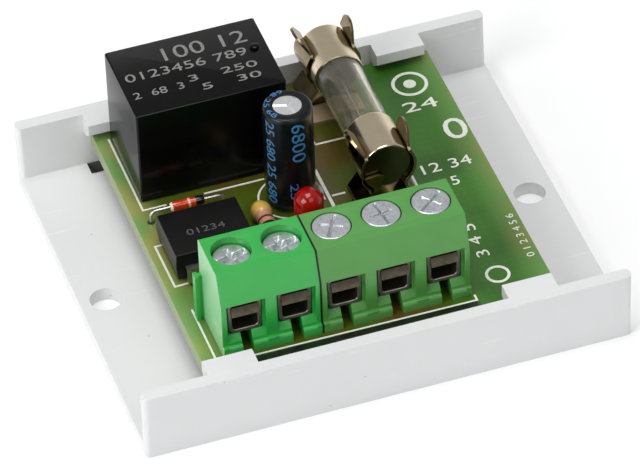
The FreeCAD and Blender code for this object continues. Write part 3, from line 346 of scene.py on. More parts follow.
# Tin cools with a bright, slightly cloudy skin.
solder, *_ = mottled("Tin solder, hand made", 0.4, 2.0, "cfd0d2", "a9aaad", (0.18, 0.45), Metallic=1.0)
PITCH, POST_Y = 5.08, -12.1  # From pole to pole, and the row of the terminals' solder posts.
leads_at = [(-12.64 + PITCH * pole, POST_Y) for pole in range(5)]
leads_at += [(-13.55, 9.29), (-13.55, 16.91), (-14.55, 13.1), (-4.35, 9.29), (-2.23, 16.91)]
leads_at += [(-1.65, 2.45), (-1.65, 4.45), (-2.77, -1.9), (-0.23, -1.9), (-5.5, 2.9), (-5.5, -5.0)]
leads_at += [(-15.8, 4.85), (-8.2, 4.85), (-14.55, 2.36), (-9.45, 2.36), (-14.55, -5.26), (-9.45, -5.26)]
leads_at += [(4.6, 0.75), (9.6, 0.75), (4.6, 17.55), (9.6, 17.55)]
cone = [(0.3, -1.0), (0.36, -0.8), (0.5, -0.5), (0.75, -0.2), (1.0, -0.05), (1.0, 0.0)]
joints = shell("solder_joints", *[turned(cone, (x, y, board_low - 0.01), count=20) for x, y in leads_at])
place_piece(joints, solder)

# Terminal housings. Two mouldings in glossy polyamide, hooked together by a rib, from different batches:
# the two-pole one is a cold bright green and the three-pole one a warmer olive green.


def away(shader, along, at):
    """How far a coordinate lies from a place in millimetres, either way: the size of their difference."""
    difference = add_node(shader, "ShaderNodeMath", along, at * MM, operation="SUBTRACT")
    return add_node(shader, "ShaderNodeMath", difference, operation="ABSOLUTE")


def moulded_green(name, face, deep, gloss):
    """Moulded polyamide: a slow change between two greens, a faint grain and a satin gloss; the colour is
    painted near-black within 0.1 mm of the joint between the two housings, as painted shade in the gap."""
    material, shader, place = new_finish(name, IOR=1.53, Subsurface_Weight=0.06, Subsurface_Scale=0.6 * MM,
                                         Coat_Weight=gloss, Coat_Roughness=0.12)
    flow = add_node(shader, "ShaderNodeTexNoise", Vector=place, Scale=per_mm(3))
    green = add_node(shader, "ShaderNodeMixRGB", flow, face, deep)
    along = add_node(shader, "ShaderNodeSeparateXYZ", place, gives="X")
    # Painted sheen: the outer end face is painted paler, as the sheen of the light from the left on it.
    pale = add_node(shader, "ShaderNodeMapRange", away(shader, along, housing_end + 0.02), 0.03 * MM,
                    0.08 * MM, 0.75, 0.0)
    green = add_node(shader, "ShaderNodeMixRGB", pale, green, "a2d8a8")
    joint_shade = add_node(shader, "ShaderNodeMapRange", away(shader, along, housing_joint), 0.09 * MM,
                     0.14 * MM, 0.95, 0.0)
    grain = add_node(shader, "ShaderNodeTexNoise", Vector=place, Scale=per_mm(0.15))
    feed(shader, Base_Color=add_node(shader, "ShaderNodeMixRGB", joint_shade, green, "08100a"),
         Roughness=add_node(shader, "ShaderNodeMapRange", grain, 0.0, 1.0, 0.3, 0.45),
         Normal=add_node(shader, "ShaderNodeBump", Height=grain, Strength=0.2, Distance=0.015 * MM))
    return material


housing_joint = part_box("terminal_housing_supply")[1][0] / MM + 0.02
housing_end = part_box("terminal_housing_supply")[0][0] / MM + 0.8  # Behind the coupling rib.
dress(moulded_green("Moulded polyamide, bright green", "20a23a", "2cab48", 0.5), 0.1,
      "terminal_housing_supply")
dress(moulded_green("Moulded polyamide, olive green", "4a8f3e", "539746", 0.25), 0.1,
      "terminal_housing_switch")

# Clamps. Each pole has a sprung box of nickel-plated steel, bent from strip, with a tapped top, a solder
# pin below, and a loose wire guard that the screw drives down.
# Dull nickel over rolled steel: a warm grey with fine lines along the strip.
strip_steel, shader, place, _ = mottled("Nickel-plated steel strip, dull", 0.8, 4.0, "b9b4a8", "8a8478",
                                        (0.22, 0.5), Metallic=1.0)
drawn = add_node(shader, "ShaderNodeMapping", place, Scale=(1.0, 0.06, 1.0))
rolled = add_node(shader, "ShaderNodeTexNoise", Vector=drawn, Scale=per_mm(0.12))
feed(shader, Normal=add_node(shader, "ShaderNodeBump", Height=rolled, Strength=0.3, Distance=0.01 * MM))
poles = range(1, 6)
STEEL, BAR, BAR_DEEP = 0.4, 0.9, 2.1  # Thickness of the strip and of the bar, and its depth.
SHELF, POST_WIDE, POST_DEEP = 2.1, 1.0, 0.8  # The box's floor above the board, and the solder post.
ARM_OFF, ARM_WIDE, ARM_LONG = 1.5, 0.39, 2.7  # The two arms behind the bar, either side of the screw.
# The box of strip is a U with rounded corners under a thick tapped bar, left open for the screw here.
corner = np.radians(np.linspace(180, 270, 8))
for pole in poles:
    low, high = np.array(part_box("clamp_frame_%d" % pole)) / MM
    middle, wide, shelf, under = (low + high)[0] / 2, (high - low)[0] / 2, board_top + SHELF, high[2] - BAR
    bends = []
    for radius, inset in ((0.75, 0.0), (0.38, STEEL)):
        left = np.stack([radius * np.cos(corner) - wide + inset + radius,
                         radius * np.sin(corner) + shelf + inset + radius], 1)
        bends.append(np.concatenate([[[inset - wide, under + STEEL]], left, (left * (-1, 1))[::-1],
                                     [[wide - inset, under + STEEL]]]) + (middle, 0))
    outer, inner = bends
    front, back = low[1], high[1]
    bent = np.stack([np.insert(edge, 1, level, axis=1) for edge, level in
                     ((outer, front), (outer, back), (inner, back), (inner, front))], 1)
    bars = [box_of(middle, front + BAR_DEEP / 2, under, high[2], 2 * wide, BAR_DEEP)]
    behind = (front + BAR_DEEP + back) / 2
    bars += [box_of(middle + way * ARM_OFF, behind, under + 0.02, high[2] - 0.02, ARM_WIDE, ARM_LONG)
             for way in (-1, 1)]
    bars.append(box_of(middle, POST_Y, low[2], shelf + 0.2, POST_WIDE, POST_DEEP))
    piece = shell("clamp_frame_%d_bent" % pole, bent, *bars)
    round_edges(piece, 0.07)
    place_piece(piece, strip_steel)
    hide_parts("clamp_frame_%d" % pole)
# The guards' nickel is rubbed thin by wires and screws, and looks brown.
guard_steel, *_ = mottled("Nickel-plated steel, worn brown", 0.6, 4.0, "7a7261", "443e34", (0.25, 0.5),
                          Metallic=1.0)
# Each guard is a plate with a wider flap bent up at its front, leaning back a little.
PLATE, FLAP_HALF = 0.34, 1.42
for pole in poles:
    low, high = np.array(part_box("wire_guard_%d" % pole)) / MM
    middle, plate_half = (low + high)[0] / 2, (high - low)[0] / 2
    front, under, over = low[1], low[2], high[2]
    plate = [(high[1], under + PLATE), (front - 0.35, under + PLATE), (front - 0.35, under), (high[1], under)]
    flap = [(front - 0.08, over - 0.5), (front - 0.12, over - 0.45), (front - 0.42, under + 0.3),
            (front - 0.5, under - 0.12), (front - 0.2, under - 0.1)]
    slabs = [np.stack([np.insert(np.array(outline), 0, middle + way * half, axis=1) for way in (-1, 1)])
             for outline, half in ((plate, plate_half), (flap, FLAP_HALF))]
    piece = shell("guard_%d_bent" % pole, *slabs)
    round_edges(piece, 0.05)
    place_piece(piece, guard_steel, "guard_%d" % pole)
    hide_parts("wire_guard_%d" % pole)

# Clamp screws. Zinc-plated M2.5 screws with a cheese head, upset cold with a recess for a flat or a cross
# driver. Each stands at its own angle, and drivers have burred the recess.


def recess_depth(x, y, radius, half):
    """How deep the head is sunk at x, y: a slot of even width and a shorter cross arm, each falling off
    over half its width at its sides, and a shallow cone where they meet, less a burr, which is a thin
    ridge 0.75 mm from the middle of a wide slot."""
    def falls(distance):
        return np.clip(0.5 - distance / half, 0, 1)
    slot = falls(np.maximum(np.abs(y) - half, np.abs(x) - 0.84 * radius)) * 0.5
    arm = falls(np.maximum(np.abs(x) - 0.8 * half, np.abs(y) - 0.58 * radius)) * 0.36
    cone = np.clip(0.55 - 0.75 * np.hypot(x, y) * 0.3 / half, 0, 0.6)
    ridge = np.clip(0.35 - 3.0 * np.abs(np.hypot(x, y) - 0.75), 0, 0.3) * (slot > 0.3) * (half > 0.2)
    return np.maximum(np.maximum(slot, arm), cone) - ridge


# Zinc on upset steel is bright, faintly blue and slightly pitted.
zinc, shader, place, _ = mottled("Zinc plate, bright with a blue tinge", 0.4, 4.0, "fcfdfe", "8e989f",
                                 (0.3, 0.55), Metallic=1.0)
pits = add_node(shader, "ShaderNodeTexNoise", Vector=place, Scale=per_mm(0.3), Detail=3.0)
feed(shader, Normal=add_node(shader, "ShaderNodeBump", Height=pits, Strength=0.7, Distance=0.05 * MM))
SHANK, THREAD, PITCH_DRAWN = 1.19, 0.15, 0.45  # Radius, depth and pitch of the thread.
turn = np.linspace(0, 2 * np.pi, 96, endpoint=False)
for pole, angle, half, wear in zip(poles, (14, 10, 62, 98, 40), (0.26, 0.26, 0.12, 0.1, 0.1),
                                   (1.2, 1.1, 0.7, 0.8, 0.6)):
    low, high = np.array(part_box("terminal_screw_%d" % pole)) / MM
    middle, head, tip = (low + high)[:2] / 2, (high - low)[0] / 2, low[2] - high[2]
    # The thread: the radius falls and rises with height, shifted once round by the turn.
    rise = np.linspace(tip + 0.05, -1.15, 60)[:, None]
    radius = SHANK - THREAD * np.abs(2 * np.mod(rise / PITCH_DRAWN - turn / (2 * np.pi), 1) - 1)
    shank = np.stack([radius * np.cos(turn), radius * np.sin(turn), rise + 0 * turn], -1)
    side = turned([(1.1, -1.12), (head - 0.05, -1.1), (head, -1.03), (head, -0.14), (head - 0.04, -0.05)],
                  (0, 0, 0), count=96)
    inward = np.linspace(head - 0.12, 0.02, 64)[:, None]
    x, y = inward * np.cos(turn), inward * np.sin(turn)
    cosine, sine = math.cos(math.radians(angle)), math.sin(math.radians(angle))
    sunk = recess_depth(x * cosine + y * sine, y * cosine - x * sine, head, half) * wear
    face = np.stack([x, y, -sunk - 0.03 * (inward / head) ** 6], -1)
    screw = np.concatenate([shank, side, face]) + np.array([*middle, high[2]])
    piece = shell("screw_%d_turned" % pole, screw, sharp=50)
    place_piece(piece, zinc, "screw_%d" % pole)
    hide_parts("terminal_screw_%d" % pole)

# Relay. A sealed miniature relay: a cover moulded in black polyester with a vent nub, pushed over its base
# and cast shut.
# The polished mould gives a deep gloss, and a faint ripple softens its reflections.
relay_black, shader, place, _ = mottled("Moulded polyester, gloss black", 4, 3.0, "040404", "080808",
                                        (0.15, 0.25), IOR=1.5, Specular_IOR_Level=0.22)
ripple = add_node(shader, "ShaderNodeTexNoise", Vector=place, Scale=per_mm(0.2))
feed(shader, Normal=add_node(shader, "ShaderNodeBump", Height=ripple, Strength=0.15, Distance=0.01 * MM))
low, high = np.array(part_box("relay_cover")) / MM
nub_high = 0.25
high[2] -= nub_high
top = high[2]


def rounded_rim(low, high, inset, radius, level):
    """A rectangle with rounded corners, inset from a box: quarter circles about the four corner centres."""
    angle = np.radians(np.linspace(0, 90, 7))
    half = (high - low)[:2] / 2 - inset - radius
    middle = (low + high)[:2] / 2
    quarters = [np.stack([np.cos(angle + turn), np.sin(angle + turn)], 1) * radius + middle + half * way
                for turn, way in zip(np.pi / 2 * np.arange(4), ((1, 1), (-1, 1), (-1, -1), (1, -1)))]
    flat = np.concatenate(quarters)
    return np.column_stack([flat, np.full(len(flat), level)])


# From the roof inside, down the wall's inner face and up its outer face to the top.
cover = np.stack([rounded_rim(low, high, *row) for row in (
    (0.6, 0.1, top - 0.7), (0.6, 0.1, low[2]), (0.0, 0.25, low[2]), (0.0, 0.22, top - 0.12),
    (0.03, 0.2, top - 0.04), (0.12, 0.15, top))])
# The vent is a low nub near one corner.
nub = turned([(0.02, top - 0.05), (0.45, top - 0.05), (0.45, top + 0.18), (0.38, top + 0.24),
              (0.02, top + nub_high)], (-1.55, 13.95, 0), count=32)
cover = shell("relay_cover_moulded", cover, nub, sharp=40)
place_piece(cover, relay_black)
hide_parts("relay_cover")
dress(relay_black, 0, "relay_base")
# Figures marked on the top by laser, which leaves a pale grey, rough line.
marked, *_ = mottled("Laser-marked polyester, pale grey", 0.25, 3.0, "9a9a98", "585856", IOR=1.5,
                     Roughness=0.6)
for row, words, length, high, x, y in (
        (1, "100 12", 8.6, 1.95, -10.5, 15.0), (2, "0123456 789", 12.6, 1.2, -15.1, 13.1),
        (3, "3   250", 7.1, 0.95, -9.2, 11.1), (4, "5   30", 6.1, 0.95, -8.3, 9.45),
        (5, "2  68  3", 5.2, 1.0, -15.1, 10.4)):
    figures = lay_figures("relay_figures_%d" % row, words, length, high, (x, y, top))
    place_piece(figures, marked)

# Inside the relay, under its cover: a moulded spool wound with enamelled copper, an iron core, yoke and
# armature, springs of bronze strip with their contacts, and tinned pins fixed in the base.
# The natural polyester is a matt cream.
spool_white, *_ = mottled("Moulded polyester, natural", 2, 2.0, "ddd6c4", "cdc5b1", IOR=1.54, Roughness=0.5)
dress(spool_white, 0, "relay_bobbin")
# Enamel makes the copper shine reddish brown. Its turns are drawn 0.2 mm apart, coarser than the real ones,
# so that they show.
copper, shader, place = new_finish("Enamelled copper wire, wound", Metallic=1.0, Roughness=0.35)
turns = add_node(shader, "ShaderNodeTexWave", Vector=place, Scale=per_mm(0.2) / math.tau,
                 bands_direction="X", gives="Fac")
feed(shader, Base_Color=add_node(shader, "ShaderNodeMixRGB", turns, "8a3f1c", "c9743c"),
     Normal=add_node(shader, "ShaderNodeBump", Height=turns, Strength=0.8, Distance=0.05 * MM))
dress(copper, 0, "relay_coil")
# Plated iron is a plain grey metal, bronze strip is golden, and tinned wire is white and smooth.
iron, *_ = mottled("Soft iron, nickel plated", 0.7, 3.0, "b8b8b6", "93928e", (0.3, 0.5), Metallic=1.0)
dress(iron, 0, "relay_core", "relay_yoke", "relay_armature")
bronze, *_ = mottled("Phosphor bronze strip", 0.6, 3.0, "c79a5c", "a87a42", (0.25, 0.42), Metallic=1.0)
dress(bronze, 0, "relay_moving_contact", "relay_return_spring", "relay_contact_open", "relay_contact_closed")
tinned, *_ = mottled("Tinned copper wire", 0.5, 3.0, "dedddb", "b7b5b2", (0.2, 0.42), Metallic=1.0)
dress(tinned, 0, "relay_coil_pins", "relay_common_pin", "rectifier_leads", "lamp_leads", "capacitor_leads")

# Capacitor. A drawn aluminium can, scored on top so that it can vent, over a wound core and a rubber bung.
# A black PVC sleeve is shrunk round it, printed in blue with figures down its side and over its shoulder.


def eased(corners, steps=6):
    """A line through corners given as (x, y, ..., ease): each corner gives way to a curve that leaves one
    side and joins the next at the distance ease from it, each point a blend of side, corner and side."""
    corners = np.array(corners, float)
    points, eases = corners[:, :-1], corners[:, -1]
    part = np.linspace(0, 1, steps)[:, None]
    line = [points[:1]]
    for before, corner, after, ease in zip(points[:-2], points[1:-1], points[2:], eases[1:-1]):
        start = corner + (before - corner) * ease / np.linalg.norm(before - corner)
        end = corner + (after - corner) * ease / np.linalg.norm(after - corner)
        line.append((1 - part) ** 2 * start + 2 * part * (1 - part) * corner + part ** 2 * end)
    return np.concatenate(line + [points[-1:]])


low, high = np.array(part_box("capacitor_sleeve")) / MM
cap_x, cap_y = ((low + high) / 2)[:2]
girth, foot, top = (high - low)[0] / 2, low[2], high[2]
# Shrinking leaves the sleeve glossy, with slow ripples.
sleeve_black, shader, place, ripple = mottled("Shrunk PVC sleeve, gloss black", 1.5, 2.0, "06070b", "0c0f15",
                                              (0.22, 0.38), IOR=1.5, Specular_IOR_Level=0.35)
feed(shader, Normal=add_node(shader, "ShaderNodeBump", Height=ripple, Strength=0.3, Distance=0.05 * MM))
outside = eased([(girth - 0.35, foot + 0.06, 0), (girth - 0.02, foot + 0.02, 0.1), (girth, foot + 1.0, 0.3),
                 (girth - 0.06, foot + 1.35, 0.2), (girth, foot + 1.7, 0.3), (girth, top - 0.1, 0.5),
                 (girth - 0.7, top, 0.4), (1.6, top - 0.05, 0.03), (1.56, top - 0.14, 0)])
inside = eased([(1.58, top - 0.16, 0), (girth - 0.75, top - 0.12, 0.3), (girth - 0.1, top - 0.5, 0.3),
                (girth - 0.12, foot + 0.1, 0)])
skin = turned(np.concatenate([outside, inside]), (cap_x, cap_y, 0), count=96)
sleeve = shell("capacitor_sleeve_shrunk", skin, loop=True)
place_piece(sleeve, sleeve_black)
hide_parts("capacitor_sleeve")

# Drawing leaves the aluminium bright and finely scattering.
can_bright, *_ = mottled("Drawn aluminium", 0.3, 3.0, "fafafa", "eceded", (0.3, 0.5), Metallic=1.0)
# The lid is sunk along three straight scores that meet in the middle.
SCORE_DEEP, SCORE_HALF, SCORE_LONG = 0.09, 0.16, 1.5
inward = np.linspace(girth - 0.45, 0.02, 60)[:, None]
turn = np.linspace(0, 2 * np.pi, 120, endpoint=False)
x, y = inward * np.cos(turn), inward * np.sin(turn)
score = np.zeros_like(x)
for bearing in np.radians((164, 44, 284)):
    ahead = x * math.cos(bearing) + y * math.sin(bearing)
    aside = np.abs(y * math.cos(bearing) - x * math.sin(bearing))
    score = np.maximum(score, np.clip(1 - aside / SCORE_HALF, 0, 1) * (ahead > 0) * (ahead < SCORE_LONG))
lid = np.stack([x, y, top - 0.1 - SCORE_DEEP * score], -1)
wall = turned([(girth - 0.36, foot), (girth - 0.11, foot), (girth - 0.11, top - 0.7),
               (girth - 0.35, top - 0.2), (girth - 0.4, top - 0.13)], (0, 0, 0), count=120)
can = shell("capacitor_can_scored", np.concatenate([wall, lid]) + np.array([cap_x, cap_y, 0]), sharp=50)
place_piece(can, can_bright)
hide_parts("capacitor_can")

# The ink is stamped on, so its pale blue is uneven.
ink_blue, *_ = mottled("Sleeve ink, pale blue", 0.25, 3.0, "4f8fc0", "2a6296", IOR=1.5, Roughness=0.4)


def round_axis(piece, bearing, reach, level):
    """Put a mesh's points round the capacitor's axis: reach times the cosine and the sine of the bearing."""
    points = np.stack([cap_x + reach * np.cos(bearing), cap_y + reach * np.sin(bearing), level], 1)
    place_piece(move_points(piece, points), ink_blue)


# Down the side: the figures' run goes down the axis, and their height along the arc, as arc over radius.
for name, words, length, high, angle, start in (
        ("value", "6800", 4.8, 1.45, -100, top - 0.7), ("volts", "25", 1.9, 0.85, -108, top - 8.3),
        ("batch", "25 680 25 680", 10.4, 1.15, -166, top - 0.7)):
    piece, points = set_figures("sleeve_" + name, words, length, high)
    bearing = math.radians(angle) + points[:, 1] / girth
    round_axis(piece, bearing, girth + points[:, 2] - 0.01, start - points[:, 0])
# Over the shoulder: their height goes inwards and their run round the rim.
piece, points = set_figures("sleeve_shoulder", "68 25 68", 5.0, 0.55)
reach = 2.3 - points[:, 1]
lift = top + 0.005 + points[:, 2] - 0.3 * np.maximum(reach - 1.9, 0) ** 2
round_axis(piece, math.radians(85) + points[:, 0] / 2.1, reach, lift)

# The bung is matt black, and the winding the brown of oiled paper.
rubber, *_ = mottled("Moulded butyl rubber", 0.3, 3.0, "141414", "262524", IOR=1.5, Roughness=0.8)
dress(rubber, 0, "capacitor_bung")
paper, *_ = mottled("Wound capacitor paper", 0.4, 2.0, "a59a80", "8c8168", Roughness=0.9)
dress(paper, 0, "capacitor_winding")

# Signal lamp. A 3 mm lamp cast in clear epoxy, dyed red, round the two leads that hold it over the board.
# It has a domed top and a rim at its foot.
low, high = np.array(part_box("lamp_lens")) / MM
lamp_x, lamp_y = ((low + high) / 2)[:2]
rim, bulb = (high - low)[0] / 2, 1.5
# The dye lets some light through, so the red is deep in the middle and glows at the edges.
red, shader, *_ = mottled("Cast epoxy, dyed red", 1.2, 1.0, "c40c06", "9c0804", IOR=1.5, Roughness=0.08,
                          Transmission_Weight=0.3, Subsurface_Weight=0.2, Subsurface_Scale=1.0 * MM)
shader.inputs["Subsurface Radius"].default_value = (1.0, 0.12, 0.05)
dome = np.radians(np.linspace(4, 88, 14))
profile = [(rim - 0.1, low[2]), (rim, low[2] + 0.08), (rim, low[2] + 0.9), (rim - 0.08, low[2] + 1.0),
           (bulb + 0.02, low[2] + 1.02), (bulb, low[2] + 1.1)]
profile += [(bulb * math.cos(part), high[2] - bulb + bulb * math.sin(part)) for part in dome]
lens = shell("lamp_lens_cast", turned(profile, (lamp_x, lamp_y, 0), count=72), sharp=50)
place_piece(lens, red)
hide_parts("lamp_lens")

# Resistor. A ceramic rod with pressed end caps, dipped in tan lacquer, with painted colour bands. Its leads
# are bent down and soldered through the board.


def carried(path, radius, side, count=16):
    """A round wire: at each point of the path a circle of the radius stands square to it, from the fixed
    side direction and the one square to both."""
    path = np.array(path, float)
    ahead = np.gradient(path, axis=0)
    ahead /= np.linalg.norm(ahead, axis=1)[:, None]
    side = np.broadcast_to(np.array(side, float), ahead.shape)
    other = np.cross(ahead, side)
    angle = np.linspace(0, 2 * np.pi, count, endpoint=False)[:, None]
    ring = np.cos(angle) * side[:, None] + np.sin(angle) * other[:, None]
    return path[:, None] + radius * ring


def banded(shader, paint, along, middle, bands, soft):
    """A paint crossed by bands, each given by its place from the middle, half its width and its colour."""
    for at, half, colour in bands:
        band = add_node(shader, "ShaderNodeMapRange", away(shader, along, middle + at), half * MM,
                        (half + soft) * MM, 1.0, 0.0)
        paint = add_node(shader, "ShaderNodeMixRGB", band, paint, colour)
    return paint


low, high = np.array(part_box("resistor_body")) / MM
res_x, res_y, res_z = (low + high) / 2
ends, half, bell, waist = (low[1], high[1]), (high - low)[1] / 2, (high - low)[0] / 2, 0.85
# Dipping leaves a thick, smooth lacquer with soft edges to its bands.
lacquer, shader, place = new_finish("Tan lacquer with painted bands", IOR=1.5, Coat_Weight=0.5,
                                    Coat_Roughness=0.1)
smear = add_node(shader, "ShaderNodeTexNoise", Vector=place, Scale=per_mm(0.8))
tan = add_node(shader, "ShaderNodeMixRGB", smear, "c9a03a", "d3ae55")
along = add_node(shader, "ShaderNodeSeparateXYZ", place, gives="Y")
paint = banded(shader, tan, along, res_y, (
    (-2.35, 0.75, "c98f62"), (-1.55, 0.22, "3a1f12"), (-0.35, 0.22, "0f0e0e"), (1.15, 0.35, "c48f70"),
    (0.62, 0.12, "4a1c12"), (0.2, 0.25, "c48f70")), 0.04)
feed(shader, Base_Color=paint,
     Roughness=add_node(shader, "ShaderNodeMapRange", smear, 0.0, 1.0, 0.25, 0.45))
rod = eased([(0.3, -half, 0), (0.72, -half, 0.2), (bell, -half + 0.55, 0.3), (bell, -half + 1.35, 0.25),
             (waist, -half + 1.85, 0.25), (waist, half - 1.85, 0.25), (bell, half - 1.35, 0.25),
             (bell, half - 0.55, 0.3), (0.72, half, 0.2), (0.3, half, 0)])
body = shell("resistor_dipped", turned(rod, (res_x, res_y, res_z), axis="y", count=48), sharp=60)
place_piece(body, lacquer)
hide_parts("resistor_body")
lead_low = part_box("resistor_leads")[0][2] / MM
LEAD, KNEE = 0.25, 3.95  # The leads' radius, and how far from the middle they turn down.
wires = []
for end, way in zip(ends, (-1, 1)):
    knee = res_y + way * KNEE
    path = eased([(res_x, end - way * 0.1, res_z, 0), (res_x, knee, res_z, 0.7), (res_x, knee, lead_low, 0)])
    wires.append(carried(path, LEAD, (way, 0, 0)))
pair = shell("resistor_wires", *wires)
place_piece(pair, tinned)
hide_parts("resistor_leads")

# Diode. A bead of orange glass fused round a chip between two tinned studs, with a painted black band at
# its cathode. Its leads are bent down like the resistor's.
low, high = np.array(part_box("diode_body")) / MM
diode_x, diode_y, diode_z = (low + high) / 2
ends, half, bead = (low[0], high[0]), (high - low)[0] / 2, 0.52
# The glass is mottled from dark red to orange, with a pale band near one end where a stud shows through it;
# the pale orange band near the middle is a painted highlight.
glass_orange, shader, place = new_finish("Fused orange glass, banded", IOR=1.52, Roughness=0.12,
                                         Coat_Weight=0.6, Coat_Roughness=0.05)
clouds = add_node(shader, "ShaderNodeTexNoise", Vector=place, Scale=per_mm(0.7))
amber = add_node(shader, "ShaderNodeMixRGB", clouds, "861402", "d8400e")
along = add_node(shader, "ShaderNodeSeparateXYZ", place, gives="X")
feed(shader, Base_Color=banded(shader, amber, along, diode_x, (
    (-1.7, 0.14, "d8cfc2"), (0.15, 0.1, "f0a884"), (1.35, 0.5, "0d0b0b")), 0.05))
drop = eased([(0.15, -half, 0), (0.4, -half, 0.1), (bead, -half + 0.3, 0.2), (bead - 0.02, 0, 0.6),
              (bead, half - 0.3, 0.2), (0.4, half, 0.1), (0.15, half, 0)])
body = shell("diode_bead", turned(drop, (diode_x, diode_y, diode_z), axis="x", count=48), sharp=60)
place_piece(body, glass_orange)
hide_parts("diode_body")
LEAD, KNEE = 0.18, 3.8  # As on the resistor.
wires = []
for end, way in zip(ends, (-1, 1)):
    knee = diode_x + way * KNEE
    path = eased([(end - way * 0.1, diode_y, diode_z, 0), (knee, diode_y, diode_z, 0.7),
                  (knee, diode_y, lead_low, 0)])
    wires.append(carried(path, LEAD, (0, -way, 0)))
pair = shell("diode_wires", *wires)
place_piece(pair, tinned)
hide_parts("diode_leads")

# Bridge rectifier. Four diodes moulded into one block of black epoxy, with drafted sides, a parting line
# half way up and four flat leads below.
# The eroded mould leaves a satin grain of 0.12 mm.
epoxy, shader, place, _ = mottled("Moulded epoxy, satin black", 2.2, 2.0, "0a0a0a", "121211", IOR=1.5,
                                  Specular_IOR_Level=0.22)
grain = add_node(shader, "ShaderNodeTexNoise", Vector=place, Scale=per_mm(0.12), Detail=3.0)
feed(shader, Roughness=add_node(shader, "ShaderNodeMapRange", grain, 0.0, 1.0, 0.24, 0.4),
     Normal=add_node(shader, "ShaderNodeBump", Height=grain, Strength=0.35, Distance=0.02 * MM))
low, high = np.array(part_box("rectifier_body")) / MM
block_x, block_y = ((low + high) / 2)[:2]
# Half its width and depth at its foot, its parting line and its top.
levels = [((3.98, 3.1), low[2]), ((4.17, 3.27), (low + high)[2] / 2), ((4.07, 3.2), high[2])]
rim = np.array([(-1, -1), (1, -1), (1, 1), (-1, 1)])
rims = [np.column_stack([rim * half + (block_x, block_y), np.full(4, level)]) for half, level in levels]
block = shell("rectifier_moulded", np.stack(rims), sharp=4)
round_edges(block, 0.09)
place_piece(block, epoxy)
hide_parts("rectifier_body")
# The laser only dulls the epoxy, to a dark grey.
faint, *_ = mottled("Laser-marked epoxy, dark grey", 0.2, 3.0, "626260", "2a2a29", IOR=1.5, Roughness=0.7)
place_piece(lay_figures("rectifier_figures", "01234", 3.9, 0.85, (-14.05, -2.15, high[2])), faint)

# Fuse. A clear glass tube, two nickel-plated brass caps pushed on its ends and a thin wire between them,
# soldered into both. It lies in its clips and lifts out.
low, high = np.array(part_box("fuse_cap_front")) / MM
fuse_x, _, fuse_z = (low + high) / 2
fuse_r, cap_long = (high - low)[0] / 2, (high - low)[1]
front, rear = low[1], np.array(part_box("fuse_cap_rear"))[1][1] / MM
# Polished nickel is a warm mirror, with slow dents from drawing.
nickel, shader, place = new_finish("Nickel plate, polished", Metallic=1.0)
bloom = add_node(shader, "ShaderNodeTexNoise", Vector=place, Scale=per_mm(1.6), Detail=4.0)
plate = add_node(shader, "ShaderNodeMixRGB", bloom, "efe0c4", "dacaa8")
# Painted reflection: the flat end of the front cap is painted dark olive, as the reflection of the green
# housings before it.
along = add_node(shader, "ShaderNodeSeparateXYZ", place, gives="Y")
painted_reflection = add_node(shader, "ShaderNodeMapRange", along, (front + 0.04) * MM, (front + 0.1) * MM, 0.95, 0.0)
dents = add_node(shader, "ShaderNodeTexNoise", Vector=place, Scale=per_mm(0.9))
feed(shader, Base_Color=add_node(shader, "ShaderNodeMixRGB", painted_reflection, plate, "3f4128"),
     Roughness=add_node(shader, "ShaderNodeMapRange", bloom, 0.0, 1.0, 0.14, 0.3),
     Normal=add_node(shader, "ShaderNodeBump", Height=dents, Strength=0.12, Distance=0.05 * MM))
# The cap's profile runs from the middle of its end out to the rim, along the skirt and back inside.
cup = eased([(0.02, 0.0, 0), (fuse_r, 0.0, 0.3), (fuse_r, cap_long - 0.12, 0.1),
             (fuse_r - 0.03, cap_long, 0.04), (fuse_r - 0.15, cap_long, 0.03), (fuse_r - 0.16, 0.3, 0.1),
             (0.02, 0.2, 0)])
for node, end, profile in (("fuse_cap_front", front, cup), ("fuse_cap_rear", rear, (cup * (1, -1))[::-1])):
    cap = shell(node + "_drawn", turned(profile, (fuse_x, end, fuse_z), axis="y", count=72), sharp=50)
    place_piece(cap, nickel, "fuse")
    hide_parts(node)
glass, shader, place = new_finish("Drawn soda glass, clear", IOR=1.5, Transmission_Weight=0.94)
# Drawing leaves ripples along the tube, about 0.5 mm apart and very long.
drawn = add_node(shader, "ShaderNodeMapping", place, Scale=(1.0, 0.03, 1.0))
streak = add_node(shader, "ShaderNodeTexNoise", Vector=drawn, Scale=per_mm(0.5))
feed(shader, Base_Color=add_node(shader, "ShaderNodeMixRGB", streak, "f7f5e8", "e4dfc6"),
     Roughness=add_node(shader, "ShaderNodeMapRange", streak, 0.0, 1.0, 0.0, 0.02),
     Normal=add_node(shader, "ShaderNodeBump", Height=streak, Strength=0.15, Distance=0.03 * MM))
low, high = np.array(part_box("fuse_tube"))[:, 1] / MM
bore, outer = 1.9, 2.4
wall = [(bore, low + 0.05), (bore + 0.1, low), (outer - 0.1, low), (outer, low + 0.05), (outer, high - 0.05),
        (outer - 0.1, high), (bore + 0.1, high), (bore, high - 0.05)]
tube = shell("fuse_tube_drawn", turned(wall, (fuse_x, 0, fuse_z), axis="y", count=96), loop=True, sharp=50)
place_piece(tube, glass, "fuse")
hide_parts("fuse_tube")
WIRE, SAG = 0.07, 0.12  # The radius of the fuse wire, and how far it hangs down in the middle.
line = np.linspace(front + 0.3, rear - 0.3, 40)
sag = SAG * np.sin(np.pi * (line - front) / (rear - front))
path = np.stack([fuse_x + 0.3 * (line - line.mean()) / (rear - front), line, fuse_z - sag], 1)
wire = shell("fuse_wire_thin", carried(path, WIRE, (0, 0, 1), count=10))
place_piece(wire, tinned, "fuse")
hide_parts("fuse_wire")

# Fuse clips. Sprung bronze strip, nickel plated, folded into splayed feet, a waist and two ears that pinch
# the fuse's cap, with small stops bent in at the outer end.
# Rolled bronze under thin nickel mirrors like dark gold, in cloudy patches.
spring, *_ = mottled("Nickel-plated spring bronze", 1.2, 4.0, "a59674", "554a35", (0.07, 0.18), Metallic=1.0)


